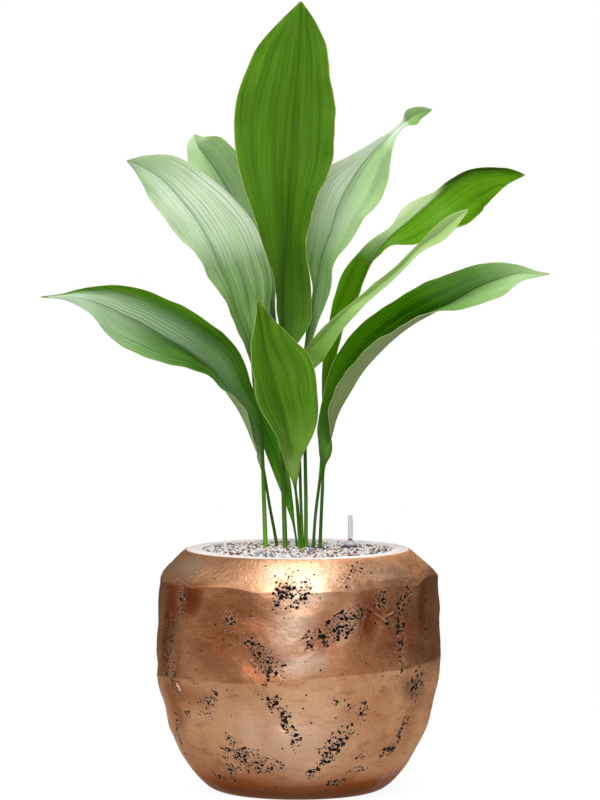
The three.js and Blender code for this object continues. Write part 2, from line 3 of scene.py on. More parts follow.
import bpy
import numpy as np
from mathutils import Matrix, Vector


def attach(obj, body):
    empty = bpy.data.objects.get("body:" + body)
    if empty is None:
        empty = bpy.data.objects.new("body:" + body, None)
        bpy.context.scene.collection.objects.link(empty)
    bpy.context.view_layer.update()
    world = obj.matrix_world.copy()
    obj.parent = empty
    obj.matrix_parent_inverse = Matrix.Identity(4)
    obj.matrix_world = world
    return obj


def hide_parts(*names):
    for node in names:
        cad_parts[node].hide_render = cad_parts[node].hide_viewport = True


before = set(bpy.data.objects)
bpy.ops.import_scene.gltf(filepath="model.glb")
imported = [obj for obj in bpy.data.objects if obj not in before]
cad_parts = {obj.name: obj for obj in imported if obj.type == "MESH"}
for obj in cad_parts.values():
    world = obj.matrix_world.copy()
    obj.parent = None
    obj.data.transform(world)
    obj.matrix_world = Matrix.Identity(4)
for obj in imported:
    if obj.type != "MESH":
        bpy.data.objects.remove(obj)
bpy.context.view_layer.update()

# Camera and studio
# The plant stands on a pale floor in a white studio. It is seen from a little above the gravel,
# far enough away that the pot's lip shows as a thin ellipse.

CAMERA_DISTANCE = 5.5
CAMERA_HEIGHT = 0.803
CAMERA_SIDE = 0.003
CAMERA_PITCH = math.radians(3.534)
CAMERA_LENS = 209.7

bpy.ops.object.select_all(action="DESELECT")
bpy.ops.object.camera_add(
    location=(CAMERA_SIDE, -CAMERA_DISTANCE, CAMERA_HEIGHT),
    rotation=(math.pi / 2 - CAMERA_PITCH, 0, 0),
)
camera = bpy.context.object
camera.name = "camera"
camera.data.lens = CAMERA_LENS
camera.data.sensor_width = 36
camera.data.clip_end = 100
bpy.context.scene.camera = camera
bpy.context.scene.view_settings.view_transform = "Standard"


def principled_material(name, roughness, metallic=0.0):
    material = bpy.data.materials.new(name)
    material.use_nodes = True
    shader = material.node_tree.nodes["Principled BSDF"]
    shader.inputs["Roughness"].default_value = roughness
    shader.inputs["Metallic"].default_value = metallic
    return material, material.node_tree, shader


def feed(socket, value):
    """Gives a socket a value, or links it to the output that brings one."""
    if isinstance(value, bpy.types.NodeSocket):
        socket.id_data.links.new(value, socket)
    else:
        socket.default_value = value


def add_node(tree, kind, **inputs):
    """Adds a node and feeds the inputs named, with underscores for their spaces."""
    node = tree.nodes.new(kind)
    for key, value in inputs.items():
        feed(node.inputs[key.replace("_", " ")], value)
    return node


def seen_or_not(tree, seen, otherwise):
    """One value for what the camera sees of a thing, and another for the light it gives elsewhere."""
    path = add_node(tree, "ShaderNodeLightPath")
    camera_ray = path.outputs["Is Camera Ray"]
    value = add_node(tree, "ShaderNodeMapRange", Value=camera_ray, To_Min=otherwise, To_Max=seen)
    return value.outputs["Result"]


FLOOR_RADIUS = 0.8
FLOOR_GREY = (0.12, 0.12, 0.12, 1)
FLOOR_GLOW = 0.72
FLOOR_GLOW_TO_CAMERA = 0.93
WHITE = (1, 1, 1, 1)

bpy.ops.mesh.primitive_circle_add(vertices=96, radius=FLOOR_RADIUS, fill_type="NGON", location=(0, 0, 0))
floor = bpy.context.object
floor.name = "studio_floor"
floor_paint, floor_tree, floor_shader = principled_material("studio_floor_paint", 0.9)
floor_shader.inputs["Base Color"].default_value = FLOOR_GREY
floor_shader.inputs["Specular IOR Level"].default_value = 0
floor_shader.inputs["Emission Color"].default_value = WHITE
feed(floor_shader.inputs["Emission Strength"], seen_or_not(floor_tree, FLOOR_GLOW_TO_CAMERA, FLOOR_GLOW))
floor.data.materials.append(floor_paint)


def add_softbox(name, place, target, width, height, power):
    """A soft area light that faces its target. Sizes are in metres and the power in watts."""
    bpy.ops.object.light_add(type="AREA", location=place)
    light = bpy.context.object
    light.name = name
    light.data.shape = "RECTANGLE"
    light.data.size = width
    light.data.size_y = height
    light.data.energy = power
    direction = Vector(target) - Vector(place)
    light.rotation_euler = direction.to_track_quat("-Z", "Y").to_euler()


add_softbox("softbox_front", (-0.5, -3.0, 2.4), (0, 0, 0.4), 2.5, 1.5, 90)
add_softbox("softbox_strip", (-0.36, -3.4, 0.5), (0, 0, 0.3), 0.22, 2.2, 16)
add_softbox("softbox_above", (0.0, -0.3, 2.6), (0, 0, 0.3), 1.0, 1.2, 42)
add_softbox("softbox_left", (-2.4, -0.6, 1.5), (0, 0, 0.6), 0.7, 1.4, 20)
add_softbox("softbox_right", (1.9, -2.2, 0.5), (0.1, 0, 0.5), 0.8, 1.0, 12)
add_softbox("softbox_behind", (0.6, 2.2, 2.0), (0, 0, 0.6), 2.0, 1.2, 24)

ROOM_LIGHT = 0.2
BACKDROP_LIGHT = 1.0

world = bpy.data.worlds.new("white_studio")
bpy.context.scene.world = world
world.use_nodes = True
background = world.node_tree.nodes["Background"]
background.inputs["Color"].default_value = WHITE
feed(background.inputs["Strength"], seen_or_not(world.node_tree, BACKDROP_LIGHT, ROOM_LIGHT))

# Pot
# One hand formed shell with a pitted copper skin and a flat lip, painted pale as a painted reflection of
# the white studio. Slabs were pressed to a chamfer, an upright band and a belly, so that crisp ridges run
# round it between soft hammered flats.

# Sizes are in millimetres and angles in degrees. The flats lean a little, the ridges waver, the lower
# one climbs and the belly swells to the right, and the upper one dips at the front. All this fades
# towards the foot and the rim.
MM = 0.001
RIM_HEIGHT = 287
RIM_INNER_RADIUS = 113
LIP_EDGE = 0.2
LIP_FOOT = 200
FLAT_STRENGTH = 0.8
FLAT_LEAN_DEGREES = 5
FLAT_LEAN_LENGTH = 60
DENT_DEPTH = 1.2
RIDGE_WAVE = 1.2
LOWER_RIDGE_HEIGHT = 150
LOWER_RIDGE_TILT = 11
LOWER_RIDGE_REACH = 60
UPPER_RIDGE_HEIGHT = 252
UPPER_RIDGE_REACH = 30
FRONT_DIP = 8
FRONT_DIP_PLACE = -5.5
FRONT_DIP_DEGREES = 6
SWELL = 4
SWELL_HEIGHT = 110
SWELL_REACH = 45
FOOT_FADE = 25
RIM_FADE = 30
FRONT_COLUMN_DEGREES = 0.5
BACK_COLUMN_DEGREES = 1.8
FRONT_END = 84
CORNER_WEAR = 4
STRAY_PITS_PER_METRE = 85
STRAY_PIT_REACH = 0.11
WIDEST_PIT = 0.46
POT_ROW_STEP = 1.6

# Corners between the flats, in degrees to the right of the pot's front.
FLAT_CORNERS = [-66, -52, -21, -9, 5, 20, 51, 84, 118, 152, 198, 236, 280, 294]

# Radii and heights of the three tiers and of the inner wall.
BELLY = [
    (86, 0), (96, 1.5), (104.5, 5), (113, 11), (122, 20), (132, 33), (143, 50), (152.5, 70),
    (160, 95), (165, 117), (169, 137), (171.5, LOWER_RIDGE_HEIGHT),
]
BAND = [
    (171.5, LOWER_RIDGE_HEIGHT), (170.5, 163), (170, 194), (169, 222), (168.5, 240),
    (168, UPPER_RIDGE_HEIGHT),
]
CHAMFER = [
    (168, UPPER_RIDGE_HEIGHT), (160, 262), (149.5, 273), (140, 281), (134, 285.6), (132.2, 286.7),
    (131, RIM_HEIGHT),
]
INNER_WALL = [
    (RIM_INNER_RADIUS, RIM_HEIGHT), (112, 283), (113, 270), (128, 260), (150, 238), (156, 200), (156, 160),
    (147, 100), (131, 55), (107, 20),
]
INNER_FLOOR_HEIGHT = 17

# Raised welts of clay, each through points in degrees right of the front and height.
WELTS = [
    [(29, 238), (33, 226), (37, 219), (43, 206)],
    [(-60, 148), (-57, 134), (-53, 118)],
    [(-19, 174), (-16, 163)],
    [(37, 219), (42, 224), (46, 232)],
]
WELT_HEIGHT = 2.2
WELT_HALF_WIDTH = 1.2
WELT_EVENNESS = 0.7
WELT_PATCHINESS = 0.9
WELT_GROOVE_REACH = 2.8
WELT_GROOVE_HALF_WIDTH = 1.3
WELT_GROOVE_SHARE = 0.6

# Soft bumps of the hand formed skin: height and size in millimetres, and a seed.
SKIN_BUMPS = [(0.9, 40, 4), (0.5, 17, 5), (0.3, 8, 6)]

# How rough the skin is where it is pitted, how far it sinks there, how the pits gather, and how
# suddenly their fields end.
PITTED_ROUGHNESS = 0.7
PITTED_SINKING = 0.5
PIT_EVENNESS = 1.35
PIT_CLUMPING = 0.8
PIT_FIELD_EDGE = 1.3

# Hollows pressed in by thumb: degrees right of the front, height, reach and depth.
HOLLOWS = [
    (-24, 219, 10, 2.2), (-17, 170, 13, 2.6), (32, 216, 15, 2.4), (-2, 240, 15, 2.2), (16, 206, 18, 1.6),
    (-44, 120, 16, 2.2), (-6, 98, 9, 2.0), (13, 70, 18, 1.8), (-28, 56, 22, 2.0), (52, 146, 14, 2.4),
    (42, 62, 15, 1.8), (-62, 96, 14, 2.2), (70, 205, 16, 2.0), (-60, 222, 13, 1.8), (26, 116, 14, 1.4),
    (110, 120, 18, 2.2), (150, 210, 20, 2.0), (185, 100, 22, 2.4), (225, 190, 18, 2.0),
    (262, 80, 20, 2.2),
]

# Fields of pits: degrees right of the front, height, half length, half width, lean and strength.
PIT_FIELDS = [
    (-2, 251, 20, 16, 0, 0.95), (-7, 237, 9, 8, 60, 0.9), (25, 271, 24, 8, 30, 0.6),
    (15, 209, 36, 13, 28, 0.85), (6, 196, 9, 9, 0, 0.9), (26, 226, 15, 13, 60, 0.8),
    (-54, 230, 22, 8, 75, 0.75), (-28, 217, 11, 9, 80, 0.8), (-21, 221, 6, 4, -40, 0.8),
    (-12, 171, 20, 14, -50, 0.95), (-12, 154, 11, 7, 80, 0.9), (-20, 190, 8, 7, 0, 0.6),
    (-18, 189, 13, 9, -45, 0.75), (40, 211, 9, 4, -60, 0.8), (-10, 125, 17, 10, -50, 0.85),
    (-4, 98, 21, 6, -62, 1.2), (-1, 80, 11, 5, -85, 1.1), (-43, 113, 15, 14, 30, 0.8),
    (-37, 127, 16, 6, 55, 0.7), (-24, 55, 38, 15, -8, 0.75), (-32, 76, 11, 6, -45, 0.8),
    (-34, 42, 16, 8, 30, 0.75), (-45, 27, 16, 6, -10, 0.7), (19, 84, 16, 11, 55, 0.95),
    (15, 66, 32, 11, 62, 0.9), (9, 42, 13, 6, 35, 0.8), (29, 116, 16, 7, 90, 0.7),
    (22, 117, 7, 5, 0, 0.6), (17, 124, 12, 6, 10, 0.55), (36, 238, 12, 11, 60, 0.75),
    (50, 240, 13, 11, 70, 0.75), (46, 200, 40, 7, 88, 0.8), (68, 238, 18, 9, 85, 0.6),
    (66, 204, 28, 6, 88, 0.55), (58, 138, 20, 17, 30, 0.85), (51, 88, 15, 9, 60, 0.7),
    (48, 66, 22, 8, 50, 0.75), (32, 56, 8, 5, 30, 0.8), (33, 39, 7, 4, 0, 0.8), (21, 27, 14, 6, 10, 0.75),
    (-64, 178, 40, 11, 78, 0.7), (-60, 140, 18, 9, 80, 0.75), (-55, 101, 7, 6, 20, 0.9),
    (-68, 74, 26, 8, 80, 0.6), (95, 215, 26, 12, 60, 0.9), (112, 120, 30, 11, -50, 0.9),
    (128, 250, 16, 12, 0, 0.8), (140, 70, 26, 11, 20, 0.9), (158, 190, 30, 12, 35, 0.9),
    (172, 110, 34, 9, -65, 1.1), (188, 245, 20, 12, 10, 0.9), (200, 150, 22, 14, -30, 0.9),
    (214, 70, 28, 12, 15, 0.9), (228, 205, 30, 11, 70, 0.8), (243, 125, 26, 11, 40, 0.9),
    (262, 235, 18, 11, -20, 0.8), (272, 90, 24, 10, 60, 0.9),
]

# Tarnish in the copper, with painted shade where it copies the dark facets and sides: degrees right of the
# front, height, reach in degrees, reach in height, darkness. Above one it lays on a deeper painted shade, as
# in the ring round the foot.
TARNISH_AND_SHADE = [
    (-65, 200, 7, 70, 1.25), (-51, 240, 8, 30, 1.25), (-34, 205, 24, 80, 0.85), (-18, 196, 8, 50, 0.7),
    (12, 205, 8, 42, 0.5), (28, 216, 9, 50, 1.0), (44, 200, 20, 70, 0.8), (60, 222, 9, 60, 0.95),
    (-60, 120, 10, 40, 0.8), (-46, 130, 14, 18, 0.6), (62, 90, 9, 60, 0.5), (50, 60, 22, 40, 0.4),
    (-50, 45, 24, 40, 0.5), (0, 4, 400, 26, 1.6), (-50, 252, 9, 7, 0.9), (50, 262, 20, 16, 0.3),
    (150, 205, 30, 40, 0.8), (215, 205, 28, 40, 0.8), (180, 60, 60, 40, 0.5),
]

# Painted shade over the whole upright band, for the darker room it reflects.
BAND_PAINTED_SHADE = 0.5

# Painted highlights, laid on as paler copper: degrees right of the front, height, reach in degrees, reach in
# height, strength.
PAINTED_HIGHLIGHTS = [
    (-1, 258, 10, 24, 0.6), (0, 268, 24, 18, 0.35), (-4, 215, 8, 34, 0.45), (3, 170, 9, 14, 0.5),
    (17, 215, 5, 30, 0.2), (35, 270, 16, 12, 0.25), (-62, 272, 12, 12, 0.3), (4, 80, 20, 40, 0.3),
    (-14, 90, 8, 30, 0.3), (7, 274, 13, 15, 0.3), (-11, 273, 9, 14, 0.4),
]


def smooth_step(value):
    part = np.clip(value, 0, 1)
    return part * part * (3 - 2 * part)


def hump(value, middle, reach):
    """A soft hump of height one around the middle."""
    return np.exp(-(((value - middle) / reach) ** 2))


def turn_from(degrees, middle):
    """Degrees from the middle, the short way round."""
    return (degrees - middle + 180) % 360 - 180


def read_places(places, distances, stops):
    """All columns of the places at each stop, on a smooth curve through them."""
    last = len(distances) - 1
    row = np.clip(np.searchsorted(distances, stops) - 1, 0, last - 1)
    span = (distances[row + 1] - distances[row])[:, None]
    part = (stops[:, None] - distances[row][:, None]) / span
    before = np.maximum(np.arange(last + 1) - 1, 0)
    after = np.minimum(np.arange(last + 1) + 1, last)
    slope = (places[after] - places[before]) / (distances[after] - distances[before])[:, None]
    value, following = places[row], places[row + 1]
    leave = part * (1 - part) ** 2 * span * slope[row]
    arrive = part * part * (part - 1) * span * slope[row + 1]
    return value + smooth_step(part) * (following - value) + leave + arrive


def lengths_along(points):
    steps = np.linalg.norm(np.diff(points, axis=0), axis=1)
    return np.concatenate([[0], np.cumsum(steps)])


# Points of a sheet that lie nearer to each other than this, in metres, become one.
SEAM_REACH = 0.000001


def roll_sheet(name, places, marks):
    """Adds a sheet with a point for each place, rolls it up, and closes its seam and its two ends."""
    rows, columns = places.shape[:2]
    bpy.ops.object.select_all(action="DESELECT")
    bpy.ops.mesh.primitive_grid_add(x_subdivisions=columns - 1, y_subdivisions=rows - 1, size=2)
    piece = bpy.context.object
    piece.name = name
    flat = np.empty(rows * columns * 3)
    piece.data.vertices.foreach_get("co", flat)
    flat = flat.reshape(-1, 3)
    column = np.rint((flat[:, 0] + 1) / 2 * (columns - 1)).astype(int)
    row = np.rint((flat[:, 1] + 1) / 2 * (rows - 1)).astype(int)
    piece.data.vertices.foreach_set("co", (places[row, column] * MM).ravel())
    for mark, values in marks.items():
        attribute = piece.data.attributes.new(mark, "FLOAT", "POINT")
        attribute.data.foreach_set("value", values[row, column])
    bpy.ops.object.mode_set(mode="EDIT")
    bpy.ops.mesh.select_all(action="SELECT")
    bpy.ops.mesh.remove_doubles(threshold=SEAM_REACH)
    bpy.ops.mesh.normals_make_consistent(inside=False)
    bpy.ops.object.mode_set(mode="OBJECT")
    return piece


def lattice_noise(points, size, seed):
    """Smooth random values from -1 to 1 at points in millimetres, about one bump to each size."""
    lattice = np.random.default_rng(seed).uniform(-1, 1, (32, 32, 32))
    scaled = points / size
    corner = np.floor(scaled).astype(int)
    part = smooth_step(scaled - corner)
    total = np.zeros(points.shape[:-1])
    for step in np.ndindex(2, 2, 2):
        share = np.prod(np.where(step, part, 1 - part), axis=-1)
        x, y, z = np.moveaxis((corner + step) % 32, -1, 0)
        total += share * lattice[x, y, z]
    return total


def pot_columns():
    """Degrees of the skin's columns and how flat each lies: one at the corners, less between them."""
    degrees, flatness = [], []
    for start, end in zip(FLAT_CORNERS, FLAT_CORNERS[1:]):
        half = (end - start) / 2
        column = FRONT_COLUMN_DEGREES if end <= FRONT_END else BACK_COLUMN_DEGREES
        count = math.ceil((end - start) / column)
        off_middle = np.linspace(-half, half, count, endpoint=False)
        chord = np.cos(np.radians(half)) / np.cos(np.radians(off_middle))
        degrees.append(start + half + off_middle)
        flatness.append(1 - FLAT_STRENGTH * (1 - chord))
    degrees.append([FLAT_CORNERS[-1]])
    flatness.append(flatness[0][:1])
    flatness = np.concatenate(flatness)
    wear = range(-CORNER_WEAR, CORNER_WEAR + 1)
    worn = sum(np.roll(flatness[:-1], step) for step in wear) / len(wear)
    return np.concatenate(degrees), np.append(worn, worn[0])


def pit_density(degrees, height, radius):
    density = np.zeros(degrees.shape)
    for centre, level, half_length, half_width, lean, strength in PIT_FIELDS:
        across = np.radians(turn_from(degrees, centre)) * radius
        up = height - level
        cosine, sine = math.cos(math.radians(lean)), math.sin(math.radians(lean))
        long_way = (across * cosine + up * sine) / half_length
        short_way = (up * cosine - across * sine) / half_width
        off_centre = (long_way**2 + short_way**2) ** PIT_FIELD_EDGE
        density = np.maximum(density, strength * np.exp(-off_centre / 2))
    return density


def welt_share(degrees, height, radius):
    """Millimetres to the nearest welt, and how full it stands there: it thins out towards its ends."""
    nearest = np.full(degrees.shape, 1000.0)
    fullness = np.zeros(degrees.shape)
    for points in WELTS:
        spans = list(zip(points, points[1:]))
        for number, ((start_degrees, start_height), (end_degrees, end_height)) in enumerate(spans):
            across = np.radians(turn_from(degrees, start_degrees)) * radius
            up = height - start_height
            way = np.radians(end_degrees - start_degrees) * radius
            climb = end_height - start_height
            part = np.clip((across * way + up * climb) / (way**2 + climb**2), 0, 1)
            distance = np.hypot(across - part * way, up - part * climb)
            full = np.sin(math.pi * (number + part) / len(spans)) ** 0.7
            fullness = np.where(distance < nearest, full, fullness)
            nearest = np.minimum(nearest, distance)
    return nearest, fullness


def pot_profile():
    """Radii and heights from the middle of the foot, up the skin and down to the inner floor, and
    which of them lie free on the skin and on its band."""
    tiers = []
    for tier in (BELLY, BAND, CHAMFER):
        points = np.array(tier, float)
        distances = lengths_along(points)
        count = int(distances[-1] / POT_ROW_STEP)
        stops = np.linspace(0, distances[-1], count, endpoint=tier is CHAMFER)
        tiers.append(read_places(points, distances, stops))
    skin = np.concatenate(tiers)
    profile = np.concatenate([[[0, 0]], skin, INNER_WALL, [[0, INNER_FLOOR_HEIGHT]]])
    number = np.arange(len(profile))[:, None]
    is_skin = (number > 1) & (number < len(skin))
    band_start = len(tiers[0]) + 1
    is_band = (number > band_start) & (number < band_start + len(tiers[1]))
    return profile, is_skin, is_band


def pot_relief(places, degrees, height, radius, is_free):
    """How far each point of the skin stands proud, and the marks of its pits, welts and cracks."""
    density = pit_density(degrees, height, radius) * is_free
    density *= PIT_EVENNESS + PIT_CLUMPING * lattice_noise(places, 8, 9)
    relief = sum(rise * lattice_noise(places, size, seed) for rise, size, seed in SKIN_BUMPS)
    distance, fullness = welt_share(degrees, height, radius)
    fullness *= np.clip(WELT_EVENNESS + WELT_PATCHINESS * lattice_noise(places, 6, 8), 0, 1)
    welt = fullness * hump(distance, 0, WELT_HALF_WIDTH)
    crack = fullness * hump(distance, WELT_GROOVE_REACH, WELT_GROOVE_HALF_WIDTH)
    relief += WELT_HEIGHT * (welt - WELT_GROOVE_SHARE * crack)
    for centre, level, reach, depth in HOLLOWS:
        across = np.radians(turn_from(degrees, centre)) * radius
        relief -= depth * hump(across, 0, reach) * hump(height, level, reach)
    relief += density * (PITTED_ROUGHNESS * lattice_noise(places, 5, 7) - PITTED_SINKING)
    return relief, {"pitting": density, "welt": welt, "crack": crack}


def strongest_patch(start, patches, degrees, height, tier_share):
    """The start, or at each point the strongest of the patches that reach it."""
    strongest = start
    for centre, level, turn_reach, height_reach, strength in patches:
        patch = hump(turn_from(degrees, centre), 0, turn_reach) * hump(height, level, height_reach)
        strongest = np.maximum(strongest, strength * patch * tier_share(level))
    return strongest


def pot_places():
    """Every point of the pot in millimetres, column by column round it, with the marks of its skin."""
    profile, is_skin, is_band = pot_profile()
    degrees, flatness = pot_columns()
    degrees, radius = np.meshgrid(degrees, profile[:, 0])
    flatness, height = np.meshgrid(flatness, profile[:, 1])
    free = smooth_step(height / FOOT_FADE) * smooth_step((RIM_HEIGHT - height) / RIM_FADE) * is_skin
    seen_degrees = degrees - FLAT_LEAN_DEGREES * np.sin(height / FLAT_LEAN_LENGTH) * free
    angle = np.radians((seen_degrees - 90) % 360)
    flat = 1 + (flatness - 1) * free
    # Each count of turns round the pot is whole, so that dents and waves close.
    near_upper_ridge = hump(height, UPPER_RIDGE_HEIGHT, UPPER_RIDGE_REACH)
    dents = np.sin(7 * angle + height / 19) * np.cos(height / 13 + 2 * np.sin(3 * angle))
    wave = np.sin(2 * angle + 0.8) + np.sin(5 * angle + height / 90)
    tilt = np.cos(angle) * hump(height, LOWER_RIDGE_HEIGHT, LOWER_RIDGE_REACH)
    arch = radius * (1 - flat) * near_upper_ridge
    dip = hump(degrees, FRONT_DIP_PLACE, FRONT_DIP_DEGREES) * near_upper_ridge
    swell = np.cos(angle) * hump(height, SWELL_HEIGHT, SWELL_REACH)
    lift = RIDGE_WAVE * wave + LOWER_RIDGE_TILT * tilt + arch - FRONT_DIP * dip
    skin_radius = radius * flat + (DENT_DEPTH * dents + SWELL * swell) * free
    skin_height = height + lift * free
    places = np.stack([skin_radius * np.cos(angle), skin_radius * np.sin(angle), skin_height], -1)

    relief, marks = pot_relief(places, seen_degrees, skin_height, skin_radius, free > 0.02)
    places[..., 0] += relief * free * np.cos(angle)
    places[..., 1] += relief * free * np.sin(angle)

    def same_tier(level):
        return is_band if LOWER_RIDGE_HEIGHT < level < UPPER_RIDGE_HEIGHT else ~is_band

    # The band's painted shade, then the tarnish patches with their painted shade, and the painted highlights.
    band_shade = BAND_PAINTED_SHADE * is_band * np.ones(degrees.shape)
    marks["tarnish_and_shade"] = strongest_patch(band_shade, TARNISH_AND_SHADE, degrees, height, same_tier)
    marks["painted_highlight"] = strongest_patch(np.zeros(degrees.shape), PAINTED_HIGHLIGHTS, degrees, height, lambda level: 1)
    on_inner_wall = (radius < RIM_INNER_RADIUS + 1) & (height > LIP_FOOT)
    on_lip = (height > RIM_HEIGHT - LIP_EDGE) | on_inner_wall
    marks["lip"] = on_lip.astype(float)
    return places, marks


def maths(operation, first, second=0.0, clamp=False):
    fed = first if isinstance(first, bpy.types.NodeSocket) else second
    node = add_node(fed.id_data, "ShaderNodeMath")
    node.operation = operation
    node.use_clamp = clamp
    feed(node.inputs[0], first)
    feed(node.inputs[1], second)
    return node.outputs[0]


def times(first, second, clamp=False):
    return maths("MULTIPLY", first, second, clamp)


def plus(first, second):
    return maths("ADD", first, second)


def minus(first, second, clamp=False):
    return maths("SUBTRACT", first, second, clamp)


def between(value, low, high):
    """Zero below low, one above high, and smooth between; low may be above high."""
    node = add_node(value.id_data, "ShaderNodeMapRange", Value=value, From_Min=low, From_Max=high)
    node.interpolation_type = "SMOOTHSTEP"
    return node.outputs["Result"]


def mix_colours(share, first, second):
    node = add_node(share.id_data, "ShaderNodeMix")
    node.data_type = "RGBA"
    feed(node.inputs[0], share)
    feed(node.inputs[6], first)
    feed(node.inputs[7], second)
    return node.outputs[2]


def paint(red, green, blue):
    """A colour as the eye reads it, from 0 to 255, for a shader."""
    shares = [part / 255 for part in (red, green, blue)]
    return (*[((share + 0.055) / 1.055) ** 2.4 if share > 0.04 else share / 12.92 for share in shares], 1)


def tint(colour, share, tone, strength=1.0):
    """Lays a tone over the colour as far as the share says, and at most as strongly as the strength."""
    return mix_colours(times(share, strength), colour, paint(*tone))


def object_place(tree):
    return tree.nodes.new("ShaderNodeTexCoord").outputs["Object"]


def object_noise(tree, scale, detail=3.0, stretch=(1, 1, 1), roughness=0.5, lean=0.0):
    """Noise through the piece, stretched along its axes after they are turned in the front plane."""
    turned = add_node(tree, "ShaderNodeVectorRotate", Vector=object_place(tree), Angle=lean, Axis=(0, 1, 0))
    mapping = add_node(tree, "ShaderNodeMapping", Vector=turned.outputs[0], Scale=stretch)
    noise = add_node(tree, "ShaderNodeTexNoise", Vector=mapping.outputs[0], Scale=scale)
    noise.inputs["Detail"].default_value = detail
    noise.inputs["Roughness"].default_value = roughness
    return noise.outputs["Fac"]


def attribute_value(tree, name):
    node = add_node(tree, "ShaderNodeAttribute")
    node.attribute_name = name
    return node.outputs["Fac"]


def add_bump(shader, height, strength, distance):
    bump = add_node(shader.id_data, "ShaderNodeBump", Strength=strength, Distance=distance, Height=height)
    feed(shader.inputs["Normal"], bump.outputs["Normal"])


def pit_margin(tree, density, cells_per_metre, reach):
    """Above zero inside the pits. Each cell may hold one, the larger the more density exceeds its luck."""
    place = object_place(tree)
    crumple = add_node(tree, "ShaderNodeTexNoise", Vector=place, Scale=cells_per_metre * 1.3, Detail=2.0)
    shift = add_node(tree, "ShaderNodeVectorMath")
    shift.operation = "MULTIPLY_ADD"
    feed(shift.inputs[0], crumple.outputs["Color"])
    feed(shift.inputs[1], [1.1 / cells_per_metre] * 3)
    feed(shift.inputs[2], place)
    cells = add_node(tree, "ShaderNodeTexVoronoi", Vector=shift.outputs[0], Scale=cells_per_metre)
    luck = add_node(tree, "ShaderNodeSeparateColor", Color=cells.outputs["Color"])
    chance = minus(density, times(luck.outputs[0], 0.8))
    widest = maths("MINIMUM", times(chance, reach), WIDEST_PIT)
    return minus(widest, cells.outputs["Distance"])


def stray_pit_margin(tree):
    """Above zero inside the single pits that lie between the fields."""
    cells = add_node(tree, "ShaderNodeTexVoronoi", Vector=object_place(tree), Scale=STRAY_PITS_PER_METRE)
    return times(minus(STRAY_PIT_REACH, cells.outputs["Distance"]), 3.0)


BRIGHT_COPPER = (208, 158, 118)
PLAIN_COPPER = (184, 128, 90)
BROWN_STAIN = (148, 94, 60)
RED_TARNISH_AND_SHADE = (134, 68, 32)
DEEP_PAINTED_SHADE = (52, 32, 22)
HIGHLIGHT_COPPER = (242, 220, 198)
SCRATCH_AND_RIM_HIGHLIGHT_COPPER = (240, 208, 178)
DIRT_IN_GRAIN = (88, 48, 28)
WELT_PAINTED_HIGHLIGHT = (232, 196, 164)
CRACK_PAINTED_SHADE = (40, 20, 12)
PIT_BLACK = (9, 8, 10)
LIP_REFLECTION_WHITE = (228, 220, 218)
LIP_REFLECTION_GREY = (204, 194, 192)
COPPER_GLINT = (226, 206, 190)


